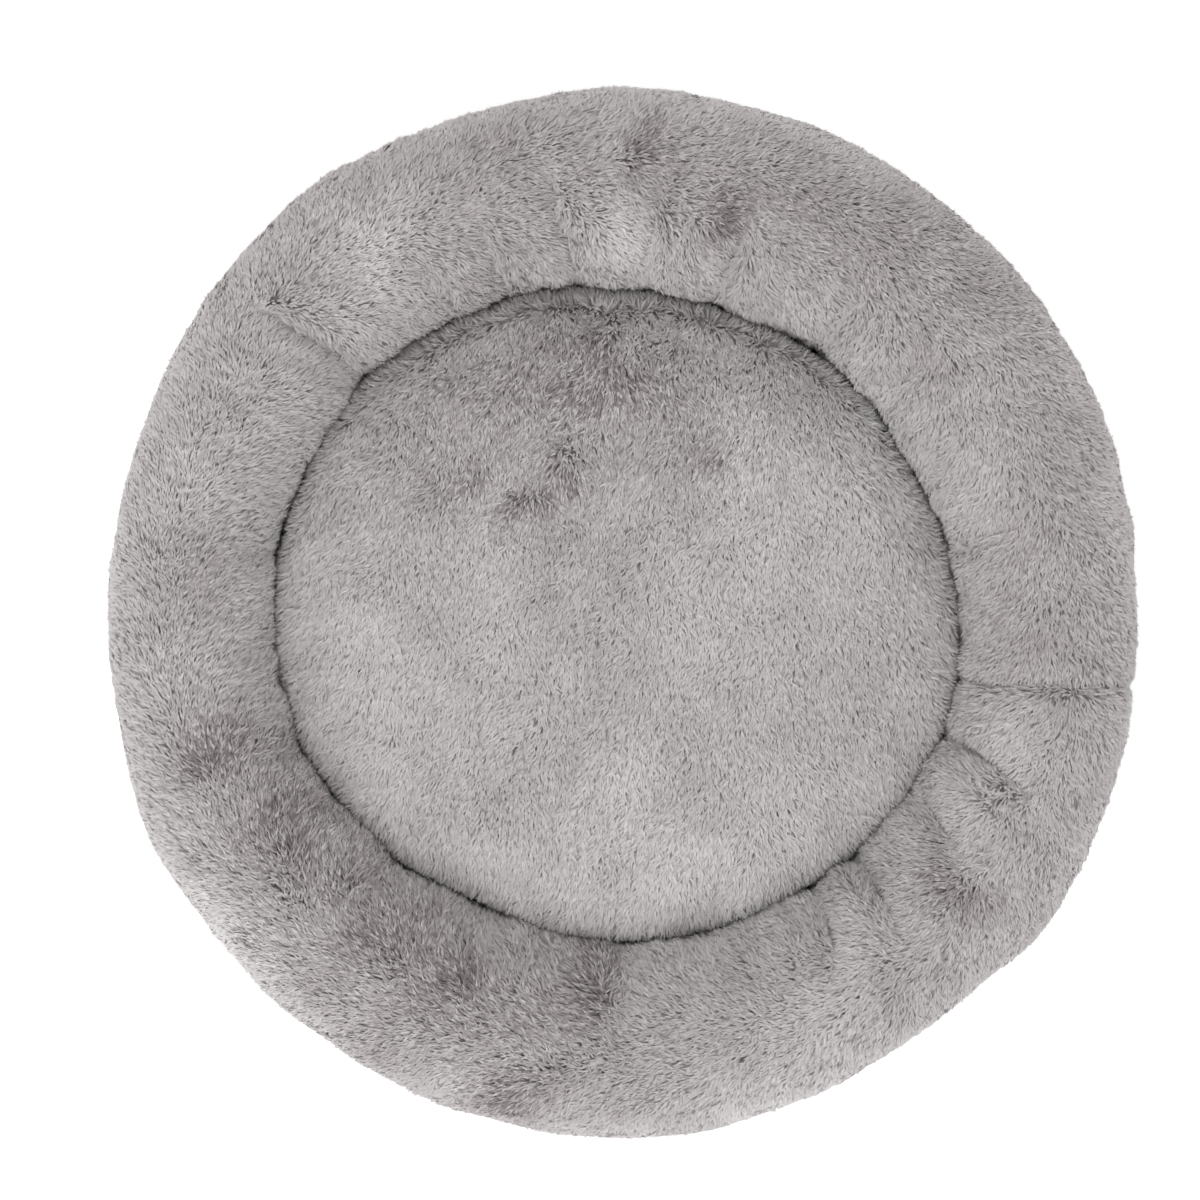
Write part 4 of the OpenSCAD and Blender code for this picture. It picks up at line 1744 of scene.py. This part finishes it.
def turned_disc(
    name: str, radius: Points, height: Points, directions: Points, middle: float, down: bool
) -> bpy.types.Object:
    """Makes a round sheet turned round the bed's axis and closed at its middle.

    Args:
        name: the piece's name.
        radius: radius of each place, shaped (directions, rows), the innermost row last.
        height: height of each place, shaped the same.
        directions: direction of each column, in degrees.
        middle: height of its middle.
        down: whether its faces look down.

    Returns:
        The sheet.
    """
    piece = turned_grid(name, radius, height, directions, True)
    if down:
        piece.data.flip_normals()
    columns, rows = radius.shape
    points = coordinates(piece.data)
    faces: list[Any] = [tuple(face.vertices) for face in piece.data.polygons]
    pole = len(points)
    for i in range(columns):
        a, b = i * rows + rows - 1, (i + 1) % columns * rows + rows - 1
        faces.append((b, a, pole) if down else (a, b, pole))
    mesh = bpy.data.meshes.new(name)
    mesh.from_pydata(np.concatenate([points, np.array([(0.0, 0.0, middle)])]).tolist(), [], faces)
    mesh.update()
    old = piece.data
    piece.data = mesh
    bpy.data.meshes.remove(old)
    shade_smooth(piece)
    return piece


def thicken(piece: bpy.types.Object, thickness: float) -> None:
    """Gives a sheet its thickness, inwards, and applies it."""
    modifier = piece.modifiers.new("thickness", "SOLIDIFY")
    modifier.thickness = thickness
    modifier.offset = -1.0
    apply_modifiers(piece)


def dressed(piece: bpy.types.Object, material: bpy.types.Material, body: str) -> bpy.types.Object:
    """Gives a finished piece its material and its slot, and lets it ride on its body."""
    piece.data.materials.clear()
    piece.data.materials.append(material)
    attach(piece, body)
    log.info("%s: %d faces, on %s", piece.name, len(piece.data.polygons), body)
    return piece


def bevelled_copy(node: bpy.types.Object, name: str, width: float) -> bpy.types.Object:
    """Copies a CAD node, merged and with its edges rounded.

    Args:
        node: the CAD node.
        name: the copy's name.
        width: width of the rounding.

    Returns:
        The copy.
    """
    piece = bpy.data.objects.new(name, node.data.copy())
    bpy.context.scene.collection.objects.link(piece)
    weld = piece.modifiers.new("weld", "WELD")
    weld.merge_threshold = 0.005 * MM
    flatten = piece.modifiers.new("flatten", "DECIMATE")
    flatten.decimate_type = "DISSOLVE"
    flatten.angle_limit = math.radians(2.0)
    bevel = piece.modifiers.new("bevel", "BEVEL")
    bevel.width = width
    bevel.segments = 3
    bevel.limit_method = "ANGLE"
    bevel.angle_limit = math.radians(35.0)
    bevel.use_clamp_overlap = True
    apply_modifiers(piece)
    shade_smooth(piece)
    piece.data.set_sharp_from_angle(angle=math.radians(40.0))
    for key in list(piece.keys()):
        if key.startswith("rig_"):
            del piece[key]
    return piece


@dataclass(frozen=True)
class StitchRun:
    """One run of stitches round the bed.

    Attributes:
        radius: its distance from the bed's axis.
        height: its height.
        start: direction of its first stitch, in degrees.
        arc: how far round it goes, in degrees.
        pitch: distance from one stitch to the next.
    """

    radius: float
    height: float
    start: float = 0.0
    arc: float = 360.0
    pitch: float = 4.2 * MM


class Stitcher:
    """Sews runs of stitches with Geometry Nodes."""

    def __init__(self) -> None:
        """Builds the tree."""
        self.tree, n, given = geometry_tree(
            "stitch_run",
            (
                ("Radius", "Float", BAND_RADIUS), ("Height", "Float", 0.01), ("Start", "Float", 0.0),
                ("Step", "Float", 0.01), ("Count", "Int", 10), ("Length", "Float", 3.0 * MM),
                ("Thickness", "Float", 0.7 * MM), ("Thread", "Material", None),
            ),
        )
        row = n.add("GeometryNodePoints", {"Count": given["Count"]})
        index = n.add("GeometryNodeInputIndex").outputs[0]
        angle = n.math("ADD", given["Start"], n.math("MULTIPLY", index, given["Step"]))
        spot = n.add(
            "ShaderNodeCombineXYZ",
            {
                0: n.math("MULTIPLY", n.math("COSINE", angle), given["Radius"]),
                1: n.math("MULTIPLY", n.math("SINE", angle), given["Radius"]),
                2: given["Height"],
            },
        ).outputs[0]
        placed = n.add("GeometryNodeSetPosition", {"Geometry": row.outputs[0], "Position": spot}).outputs[0]
        bar = n.add("GeometryNodeMeshUVSphere", {"Segments": 5, "Rings": 4, "Radius": 0.5})
        turned = n.add(
            "ShaderNodeCombineXYZ", {0: 0.0, 1: 0.0, 2: n.math("ADD", angle, math.pi / 2 + 0.08)}
        ).outputs[0]
        size = n.add(
            "ShaderNodeCombineXYZ", {0: given["Length"], 1: given["Thickness"], 2: given["Thickness"]}
        ).outputs[0]
        sewn = n.add(
            "GeometryNodeInstanceOnPoints",
            {"Points": placed, "Instance": bar.outputs[0], "Rotation": turned, "Scale": size},
        ).outputs[0]
        real = n.add("GeometryNodeRealizeInstances", {"Geometry": sewn}).outputs[0]
        smooth = n.add("GeometryNodeSetShadeSmooth", {"Geometry": real}).outputs[0]
        dyed = n.add("GeometryNodeSetMaterial", {"Geometry": smooth, "Material": given["Thread"]})
        n.add("NodeGroupOutput", {0: dyed.outputs[0]})

    def sew(self, name: str, runs: list[StitchRun], thread: bpy.types.Material) -> bpy.types.Object:
        """Sews the runs and joins them in one mesh.

        Args:
            name: the piece's name.
            runs: the runs.
            thread: the thread's material.

        Returns:
            The stitches, without slot or body.
        """
        points: list[Points] = []
        faces: list[tuple[int, ...]] = []
        for run in runs:
            carrier = new_mesh(f"{name}_run", np.zeros((1, 3)), [])
            count = max(2, round(math.radians(run.arc) * run.radius / run.pitch))
            values = {
                "Radius": run.radius, "Height": run.height, "Start": math.radians(run.start),
                "Step": math.radians(run.arc) / count, "Count": count,
                "Length": run.pitch * 0.78, "Thread": thread,
            }
            run_tree(carrier, self.tree, values)
            offset = sum(len(p) for p in points)
            faces += [tuple(v + offset for v in face.vertices) for face in carrier.data.polygons]
            points.append(coordinates(carrier.data))
            bpy.data.objects.remove(carrier)
        piece = new_mesh(name, np.concatenate(points), faces)
        shade_smooth(piece)
        return piece


@dataclass
class Base:
    """The base under the ring: cloth, side band, binding, grip dots and their stitches.

    Attributes:
        sizes: the bed's sizes.
        cloth: the cloth's thickness.
        dot_height: how far the grip dots stand out.
        dot_width: width of a dot.
        dot_pitch: distance from one dot to the next.
        binding_height: how far the binding reaches up.
        binding_turn: how far it turns in underneath.
        binding_thickness: its thickness.
        window: directions of the ends of the zip's window, in degrees.
        window_low: height of the window's lower edge.
        window_high: height of its upper edge.
        level_reach: how far round from the rear the band stands level, in degrees.
    """

    sizes: BedSizes
    cloth: float = 1.2 * MM
    dot_height: float = 0.8 * MM
    dot_width: float = 6 * MM
    dot_pitch: float = 30 * MM
    binding_height: float = 4 * MM
    binding_turn: float = 7 * MM
    binding_thickness: float = 1.2 * MM
    window: tuple[float, float] = (58.0, 122.0)
    window_low: float = 5.5 * MM
    window_high: float = 20.5 * MM
    level_reach: float = 34.0

    def build(self, finishes: Finishes, stitcher: Stitcher) -> None:
        """Builds and dresses all the base's pieces."""
        self.base_sheet(finishes)
        self.side_band(finishes)
        self.edge_binding(finishes)
        self.dots(finishes)
        self.well_lining(finishes)
        self.stitches(finishes, stitcher)

    def base_sheet(self, finishes: Finishes) -> None:
        """Lays the flat cloth underneath, drawn up a little between the dots.

        Args:
            finishes: the bed's materials.
        """
        s = self.sizes
        outer = s.band_radius - 0.3 * MM
        radii = np.linspace(0.002, outer, 44)
        directions = np.linspace(0, 360, 192, endpoint=False)
        radius = np.broadcast_to(radii, (len(directions), len(radii)))[:, ::-1]
        spots = turned_places(radius, radius * 0, np.radians(directions)[:, None])
        rise = (0.5 + 0.5 * lattice_noise(spots, 0.05, 61)).reshape(radius.shape) * 0.5 * MM
        rise = rise * np.clip((outer - radius) / 0.02, 0, 1)
        middle = self.dot_height + 0.25 * MM
        piece = turned_disc("base_sheet", radius, self.dot_height + rise, directions, middle, True)
        thicken(piece, self.cloth)
        dressed(piece, finishes.base_cloth, "bed")
        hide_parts("base_cloth")

    def side_band(self, finishes: Finishes) -> None:
        """Stands the side band round the base, with the zip's window at the rear.

        Args:
            finishes: the bed's materials.
        """
        s = self.sizes
        low = self.dot_height + self.cloth
        rows = np.array([
            low, 3.6 * MM, self.window_low, 7.5 * MM, 10 * MM, 12.5 * MM, 15 * MM, 17.5 * MM,
            self.window_high, s.band_top,
        ])
        directions = np.linspace(0, 360, 720, endpoint=False)
        height = np.broadcast_to(rows, (len(directions), len(rows)))
        angle = np.radians(directions)[:, None]
        spots = turned_places(np.full(height.shape, BAND_RADIUS), height, angle)
        slack = lattice_noise(spots, 0.022, 62).reshape(height.shape)
        pucker = np.sin(angle * 425.0) * np.exp(-(((height - s.band_top + 2 * MM) / (4 * MM)) ** 2))
        body = np.sin(np.pi * np.clip((height - low) / (s.band_top - low), 0, 1))
        plain = np.abs(turn_between(directions, 90.0)) > self.level_reach
        bow = np.where(plain[:, None], (0.5 * slack + 0.7) * body, 0.0)
        radius = s.band_radius + bow * MM + 0.12 * MM * pucker
        middle = np.append((directions[:-1] + directions[1:]) / 2, 359.75)
        inside = (middle > self.window[0]) & (middle < self.window[1])
        open_rows = (rows[:-1] >= self.window_low - 1e-6) & (rows[1:] <= self.window_high + 1e-6)
        window = inside[:, None] & open_rows[None, :]
        piece = turned_grid("side_band", radius, height, directions, True, window)
        thicken(piece, self.cloth)
        dressed(piece, finishes.band_cloth, "bed")
        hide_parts("base_band", "band_seam")

    def edge_binding(self, finishes: Finishes) -> None:
        """Binds the tape round the base's edge, rounded where it turns under.

        Args:
            finishes: the bed's materials.
        """
        s = self.sizes
        out, turn = s.band_radius + self.binding_thickness, 1.1 * MM
        inner = s.band_radius - self.binding_turn
        section = [(inner, self.dot_height), (inner, 0.15 * MM), (inner + 0.4 * MM, 0.0), (out - turn, 0.0)]
        for step in (22.5, 45.0, 67.5):
            a = math.radians(step)
            section.append((out - turn + turn * math.sin(a), turn - turn * math.cos(a)))
        section += [(out, turn), (out, self.binding_height - 0.5 * MM)]
        section += [(out - 0.25 * MM, self.binding_height - 0.1 * MM), (out - 0.6 * MM, self.binding_height)]
        section += [(s.band_radius, self.binding_height), (s.band_radius, self.dot_height)]
        section.append(section[0])
        directions = np.linspace(0, 360, 480, endpoint=False)
        shape = np.array(section)
        angle = np.radians(directions)[:, None]
        ripple = 0.1 * MM * np.sin(angle * 212.0) * (shape[None, :, 0] > s.band_radius)
        radius = shape[None, :, 0] + ripple
        height = np.broadcast_to(shape[:, 1], radius.shape)
        piece = turned_grid("edge_binding", radius, height, directions, True)
        weld = piece.modifiers.new("weld", "WELD")
        weld.merge_threshold = 0.001 * MM
        apply_modifiers(piece)
        dressed(piece, finishes.binding, "bed")
        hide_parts("base_binding")

    def dots(self, finishes: Finishes) -> None:
        """Sets the grip dots, domed, on a staggered grid.

        Args:
            finishes: the bed's materials.
        """
        gap = self.dot_pitch * math.sin(math.radians(60))
        reach = self.sizes.band_radius - self.dot_pitch / 2
        rows, columns = int(reach / gap), math.ceil(reach / self.dot_pitch)
        spots = [
            ((column + (0.5 if row % 2 else 0.0)) * self.dot_pitch, row * gap, 0.0)
            for row in range(-rows, rows + 1) for column in range(-columns, columns + 1)
        ]
        spots = [spot for spot in spots if math.hypot(spot[0], spot[1]) < reach]
        tree, n, given = geometry_tree(
            "grip_dots", (("Width", "Float", self.dot_width), ("Height", "Float", self.dot_height))
        )
        dome = n.add("GeometryNodeMeshUVSphere", {"Segments": 12, "Rings": 6, "Radius": 0.5}).outputs[0]
        place = n.add("GeometryNodeInputPosition").outputs[0]
        parts = n.add("ShaderNodeSeparateXYZ", {0: place}).outputs
        kept = n.add(
            "ShaderNodeCombineXYZ", {0: parts[0], 1: parts[1], 2: n.math("MINIMUM", parts[2], 0.0)}
        ).outputs[0]
        halved = n.add("GeometryNodeSetPosition", {"Geometry": dome, "Position": kept}).outputs[0]
        size = n.add(
            "ShaderNodeCombineXYZ",
            {0: given["Width"], 1: given["Width"], 2: n.math("MULTIPLY", given["Height"], 2.0)},
        ).outputs[0]
        lift = n.add("ShaderNodeCombineXYZ", {2: given["Height"]}).outputs[0]
        raised = n.add(
            "GeometryNodeSetPosition", {"Geometry": given["Geometry"], "Offset": lift}
        ).outputs[0]
        laid = n.add(
            "GeometryNodeInstanceOnPoints", {"Points": raised, "Instance": halved, "Scale": size}
        ).outputs[0]
        real = n.add("GeometryNodeRealizeInstances", {"Geometry": laid}).outputs[0]
        dyed = n.add("GeometryNodeSetMaterial", {"Geometry": real, "Material": finishes.rubber})
        n.add("NodeGroupOutput", {0: dyed.outputs[0]})
        piece = new_mesh("rubber_dots", np.array(spots), [])
        run_tree(piece, tree, {})
        shade_smooth(piece)
        dressed(piece, finishes.rubber, "bed")
        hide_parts("grip_dots")

    def well_lining(self, finishes: Finishes) -> None:
        """Lays the lining on the well's floor, puckered along its seam.

        Args:
            finishes: the bed's materials.
        """
        s = self.sizes
        outer = s.well_radius
        radii = np.concatenate([np.linspace(0.002, outer - 0.03, 24), np.linspace(outer - 0.026, outer, 12)])
        directions = np.linspace(0, 360, 288, endpoint=False)
        radius = np.broadcast_to(radii, (len(directions), len(radii)))
        angle = np.radians(directions)[:, None]
        spots = turned_places(radius, radius * 0, angle)
        sag = 0.45 * MM * (1 + lattice_noise(spots, 0.04, 63)).reshape(radius.shape)
        edge = np.exp(-(((outer - radius) / (9 * MM)) ** 2))
        sag = sag + 0.35 * MM * edge * (1 + np.sin(angle * 130.0 + 2.0 * np.sin(angle * 17.0)))
        height = s.floor - sag * np.clip((outer - radius) / (2 * MM), 0, 1)
        middle = s.floor - 0.5 * MM
        piece = turned_disc("well_lining", radius[:, ::-1], height[:, ::-1], directions, middle, False)
        thicken(piece, self.cloth)
        dressed(piece, finishes.lining, "bed")
        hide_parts("well_floor", "well_floor_seam")

    def stitches(self, finishes: Finishes, stitcher: Stitcher) -> None:
        """Sews the binding, the band's top, the window and the well.

        Args:
            finishes: the bed's materials.
            stitcher: sews the stitches.
        """
        s = self.sizes
        out = s.band_radius + self.binding_thickness
        first, arc = self.window[0] - 1.0, self.window[1] - self.window[0] + 2.0
        runs = [
            StitchRun(out, self.binding_height - 1.3 * MM),
            StitchRun(
                s.band_radius + 0.15 * MM, s.band_top - 1.2 * MM, self.window[1] + 2.0, 360.0 - arc - 2.0
            ),
            StitchRun(s.band_radius, self.window_high + 0.7 * MM, first, arc, 3.2 * MM),
            StitchRun(s.band_radius, self.window_low - 0.7 * MM, first, arc, 3.2 * MM),
            StitchRun(s.well_radius - 4 * MM, s.floor - 0.35 * MM),
        ]
        dressed(stitcher.sew("base_stitches", runs, finishes.thread), finishes.thread, "bed")


@dataclass
class Zip:
    """The zip in the side band: tapes, coils, stops, slider and pull.

    Attributes:
        sizes: the bed's sizes.
        start: direction of its first end, in degrees.
        arc: how far round it goes, in degrees.
        middle: height of its middle.
        slit: gap between its tapes.
        tape_height: height of a tape.
        tape_thickness: thickness of a tape.
        coil_height: height of a coil.
        coil_depth: depth of a coil.
        inset: how far behind the band's face the tapes lie.
        wire: radius of the coil's wire.
        turn_pitch: distance from one turn of a coil to the next.
        turn_steps: places along one turn.
    """

    sizes: BedSizes
    start: float = 58.0
    arc: float = 64.0
    middle: float = 13 * MM
    slit: float = 1.4 * MM
    tape_height: float = 8.3 * MM
    tape_thickness: float = 0.8 * MM
    coil_height: float = 2.4 * MM
    coil_depth: float = 2.2 * MM
    inset: float = 1.2 * MM
    wire: float = 0.42 * MM
    turn_pitch: float = 1.5 * MM
    turn_steps: int = 12

    def build(self, frame: dict[str, Any], finishes: Finishes) -> None:
        """Builds and dresses all the zip's pieces.

        Args:
            frame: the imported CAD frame.
            finishes: the bed's materials.
        """
        tree = self.coil_tree()
        for name, side in (("upper", 1), ("lower", -1)):
            self.tape(name, side, finishes)
            self.coil(tree, name, side, finishes)
        nodes = frame["nodes"]
        for name, body, width in (
            ("zip_end_stops", "bed", 0.35), ("zip_slider", "slider", 0.28), ("zip_pull", "pull", 0.30),
        ):
            piece = bevelled_copy(nodes[name], name.replace("zip_", "cast_"), width * MM)
            dressed(piece, finishes.metal, body)
            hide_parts(name)

    def tape(self, name: str, side: int, finishes: Finishes) -> None:
        """Sets one woven tape behind the window.

        Args:
            name: upper or lower.
            side: 1 above the slit, -1 below it.
            finishes: the bed's materials.
        """
        inner = self.sizes.band_radius - self.inset - self.tape_thickness
        edge = self.middle + side * self.slit / 2
        far = edge + side * self.tape_height
        low, high = min(edge, far), max(edge, far)
        directions = np.linspace(self.start - 1.0, self.start + self.arc + 1.0, 264)
        rows = np.linspace(low, high, 10)
        height = np.broadcast_to(rows, (len(directions), len(rows)))
        radius = np.full(height.shape, inner + self.tape_thickness)
        piece = turned_grid(f"tape_{name}", radius, height, directions, False)
        thicken(piece, self.tape_thickness)
        dressed(piece, finishes.zip_tape, "bed")
        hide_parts(f"zip_tape_{name}")

    def coil_tree(self) -> bpy.types.NodeTree:
        """Builds the tree that winds a coil of nylon wire round an arc.

        Returns:
            The tree.
        """
        tree, n, given = geometry_tree(
            "zip_coil",
            (
                ("Radius", "Float", BAND_RADIUS), ("Middle", "Float", self.middle),
                ("Start", "Float", 1.0), ("Arc", "Float", 1.0), ("Turns", "Int", 200),
                ("Depth", "Float", self.coil_depth), ("Tall", "Float", self.coil_height),
                ("Wire", "Float", self.wire), ("Hand", "Float", 1.0), ("Nylon", "Material", None),
            ),
        )
        line = n.add("GeometryNodeCurvePrimitiveLine").outputs[0]
        count = n.math("ADD", n.math("MULTIPLY", given["Turns"], float(self.turn_steps)), 1.0)
        even = n.add("GeometryNodeResampleCurve", {"Curve": line, "Count": count}).outputs[0]
        share = n.add("GeometryNodeSplineParameter").outputs["Factor"]
        angle = n.math("ADD", given["Start"], n.math("MULTIPLY", share, given["Arc"]))
        phase = n.math("MULTIPLY", n.math("MULTIPLY", share, given["Turns"]), 2 * math.pi)
        half_depth = n.math("SUBTRACT", n.math("MULTIPLY", given["Depth"], 0.5), given["Wire"])
        half_tall = n.math("SUBTRACT", n.math("MULTIPLY", given["Tall"], 0.5), given["Wire"])
        out = n.math("ADD", given["Radius"], n.math("MULTIPLY", n.math("COSINE", phase), half_depth))
        up = n.math(
            "ADD", given["Middle"],
            n.math("MULTIPLY", n.math("MULTIPLY", n.math("SINE", phase), half_tall), given["Hand"]),
        )
        spot = n.add(
            "ShaderNodeCombineXYZ",
            {
                0: n.math("MULTIPLY", n.math("COSINE", angle), out),
                1: n.math("MULTIPLY", n.math("SINE", angle), out),
                2: up,
            },
        ).outputs[0]
        wound = n.add("GeometryNodeSetPosition", {"Geometry": even, "Position": spot}).outputs[0]
        ring = n.add(
            "GeometryNodeCurvePrimitiveCircle", {"Resolution": 6, "Radius": given["Wire"]}
        ).outputs[0]
        wire = n.add(
            "GeometryNodeCurveToMesh", {"Curve": wound, "Profile Curve": ring, "Fill Caps": True}
        ).outputs[0]
        real = n.add("GeometryNodeRealizeInstances", {"Geometry": wire}).outputs[0]
        dyed = n.add("GeometryNodeSetMaterial", {"Geometry": real, "Material": given["Nylon"]})
        n.add("NodeGroupOutput", {0: dyed.outputs[0]})
        return tree

    def coil(self, tree: bpy.types.NodeTree, name: str, side: int, finishes: Finishes) -> None:
        """Winds one row of coil from one stop to the other.

        Args:
            tree: the coil's tree.
            name: upper or lower.
            side: 1 above the slit, -1 below it.
            finishes: the bed's materials.
        """
        piece = new_mesh(f"coil_{name}", np.zeros((1, 3)), [])
        radius = self.sizes.band_radius - self.inset + self.coil_depth / 2
        arc = math.radians(self.arc - 2.0)
        values = {
            "Radius": radius, "Middle": self.middle + side * (self.slit + self.coil_height) / 2,
            "Start": math.radians(self.start + 1.0), "Arc": arc,
            "Turns": round(arc * radius / self.turn_pitch), "Hand": float(side), "Nylon": finishes.coil,
        }
        run_tree(piece, tree, values)
        shade_smooth(piece)
        dressed(piece, finishes.coil, "bed")
        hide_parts(f"zip_coil_{name}")


# ---------------------------------------------------------------------------------------------
# Setting


@dataclass(frozen=True)
class Studio:
    """The camera, the lights and the floor."""

    height: float = 1.8
    frame_width: float = 0.6925
    look: tuple[float, float] = (-0.0127, 0.0081)
    mid_height: float = 0.06
    dome: float = 1.0
    key_power: float = 12.0
    key_place: tuple[float, float, float] = (-0.8, -1.6, 1.5)
    floor_glow: float = 0.35

    def build(self) -> None:
        """Hangs the camera, sets the lights and lays the floor."""
        self.camera()
        self.lights()
        self.floor()

    def camera(self) -> None:
        """Hangs the camera straight above the bed."""
        data = bpy.data.cameras.new("camera")
        data.sensor_width = 36.0
        data.lens = 18.0 / ((self.frame_width / 2) / (self.height - self.mid_height))
        holder = bpy.data.objects.new("camera", data)
        holder.location = (*self.look, self.height)
        bpy.context.scene.collection.objects.link(holder)
        bpy.context.scene.camera = holder

    def lights(self) -> None:
        """Sets the white dome and one large soft light at the front left."""
        world = bpy.data.worlds.new("studio")
        world.use_nodes = True
        background = world.node_tree.nodes["Background"]
        background.inputs["Color"].default_value = (1.0, 1.0, 1.0, 1.0)
        background.inputs["Strength"].default_value = self.dome
        bpy.context.scene.world = world
        light = bpy.data.lights.new("key", "AREA")
        light.shape = "DISK"
        light.size = 1.2
        light.energy = self.key_power
        holder = bpy.data.objects.new("key", light)
        holder.location = self.key_place
        holder.rotation_mode = "QUATERNION"
        holder.rotation_quaternion = (-holder.location).to_track_quat("-Z", "Y")
        bpy.context.scene.collection.objects.link(holder)
        bpy.context.scene.view_settings.view_transform = "Standard"

    def floor(self) -> None:
        """Lays the pale floor."""
        size = 6.0
        points = np.array([(-size, -size, 0), (size, -size, 0), (size, size, 0), (-size, size, 0)])
        points[:, 2] = -0.3 * MM
        ground = new_mesh("floor", points, [(0, 1, 2, 3)])
        made = bpy.data.materials.new("floor_white")
        made.use_nodes = True
        inputs = made.node_tree.nodes["Principled BSDF"].inputs
        inputs["Base Color"].default_value = (0.9, 0.9, 0.9, 1.0)
        inputs["Roughness"].default_value = 0.9
        inputs["Emission Color"].default_value = (1.0, 1.0, 1.0, 1.0)
        inputs["Emission Strength"].default_value = self.floor_glow
        ground.data.materials.append(made)


@dataclass
class PetBed:
    """The whole bed: ring, cushion, pile, base and zip.

    Attributes:
        frame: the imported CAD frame.
        sizes: the bed's sizes.
        finishes: its materials.
        coat: grows its pile.
        pile_length: length of the pile.
        ring_shade: mean shade of the ring's pile.
        cushion_shade: mean shade of the cushion's pile.
        ring_sectors: pieces that the ring's pile is split into.
        cushion_sectors: pieces that the cushion's pile is split into.
    """

    frame: dict[str, Any]
    sizes: BedSizes
    finishes: Finishes
    coat: PileCoat = field(default_factory=PileCoat)
    pile_length: float = 8.6 * MM
    ring_shade: float = 0.570
    cushion_shade: float = 0.642
    ring_sectors: int = 9
    cushion_sectors: int = 4

    def build(self) -> None:
        """Builds the bed from the base up."""
        Base(self.sizes).build(self.finishes, Stitcher())
        Zip(self.sizes).build(self.frame, self.finishes)
        wadding = self.frame["nodes"]["base_wadding"]
        wadding.data.materials.clear()
        wadding.data.materials.append(self.finishes.filling)
        self.coat.prepare()
        self.ring()
        self.cushion()

    def ring(self) -> None:
        """The stuffed ring and its pile."""
        s = self.sizes
        ring = PlushRing(s)
        sleeve = ring.build()
        p, normals = coordinates(sleeve.data), vertex_normals(sleeve.data)
        spot, direction = polar(p)
        lip = around(ring.crease.inner, direction)
        cover = smoothstep(s.band_top - 1 * MM, s.band_top + 4 * MM, p[:, 2])
        cover *= np.where(spot < lip + 14 * MM, smoothstep(0.040, 0.052, p[:, 2]), 1.0)
        shade = self.ring_shade + 0.09 * lattice_noise(p, 0.035, 31) + 0.07 * lattice_noise(p, 0.013, 32)
        # painted light: the pile on the ring's inner slope next to the crease is painted a little lighter,
        # against the crease's shadow
        slope = 1 - smoothstep(0.004, 0.032, spot - lip)
        shade += 0.02 * slope
        turn = np.stack([p[:, 1], -p[:, 0], p[:, 2] * 0], 1) / np.maximum(spot, 1e-6)[:, None]
        rim = smoothstep(0.276, 0.292, spot)
        # painted shade: the pile round the outer side is painted a little darker
        shade -= 0.01 * rim
        flatness = smoothstep(0.55, 0.95, normals[:, 2])
        short = 1 - smoothstep(s.band_top + 2 * MM, s.band_top + 15 * MM, p[:, 2])
        short *= 1 - smoothstep(34.0, 38.0, np.abs(turn_between(direction, 90.0)))
        nap = turn * (0.42 + 0.25 * flatness)[:, None]
        nap = nap + downhill(normals) * (0.72 * (1 - 1.2 * short))[:, None]
        shade, nap, unrest = patched(p, shade, nap, RING_PATCHES_WITH_PAINTED_SHADING)
        self.coat.mark(sleeve, nap, cover, shade, unrest, (1.0 - 0.25 * rim) * (1.0 - 0.45 * short))
        dressed(sleeve, self.finishes.backing, "bed")
        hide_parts("bolster_cover", "bolster_join_seam")
        batting = dressed(ring.batting(sleeve), self.finishes.filling, "bed")
        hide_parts("bolster_filling")
        for piece in self.coat.grow(sleeve, "ring_pile", "bed", self.ring_sectors, self.pile_length, 100):
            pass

    def cushion(self) -> None:
        """The loose cushion and its pile."""
        cushion = Cushion(self.sizes)
        body = cushion.build()
        p, normals = coordinates(body.data), vertex_normals(body.data)
        cover = smoothstep(0.016, 0.024, p[:, 2])
        shade = self.cushion_shade + 0.09 * lattice_noise(p, 0.035, 41) + 0.07 * lattice_noise(p, 0.013, 42)
        fan = p[:, 0] / self.sizes.cushion_radius
        side = np.where(fan > 0, 0.75, 0.35) * fan * np.abs(fan)
        way = np.stack([side - 0.2, 0.0 * fan - 0.95, 0.0 * fan], 1) * 0.75
        nap = way - normals * np.sum(normals * way, axis=1)[:, None] * 0.6
        slope = (1 - smoothstep(0.70, 0.97, normals[:, 2]))[:, None]
        nap = nap * (1 - 0.6 * slope) + downhill(normals) * 0.85 * slope
        shade, nap, unrest = patched(p, shade, nap, CUSHION_PATCHES_WITH_PAINTED_SHADING)
        self.coat.mark(body, nap, cover, shade, unrest)
        dressed(body, self.finishes.backing, "cushion")
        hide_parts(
            "cushion_top", "cushion_gusset", "cushion_top_seam", "gusset_join_seam",
            "cushion_filling",
        )
        cushion.lining(self.finishes, Stitcher())
        grown = self.coat.grow(
            body, "cushion_pile", "cushion", self.cushion_sectors, self.pile_length, 200
        )


def main() -> None:
    """Builds the bed around its frame."""
    logging.basicConfig(level=logging.INFO, format="%(message)s")
    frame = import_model()
    Studio().build()
    PetBed(frame, BedSizes.read(), Finishes()).build()


if __name__ == "__main__":
    main()
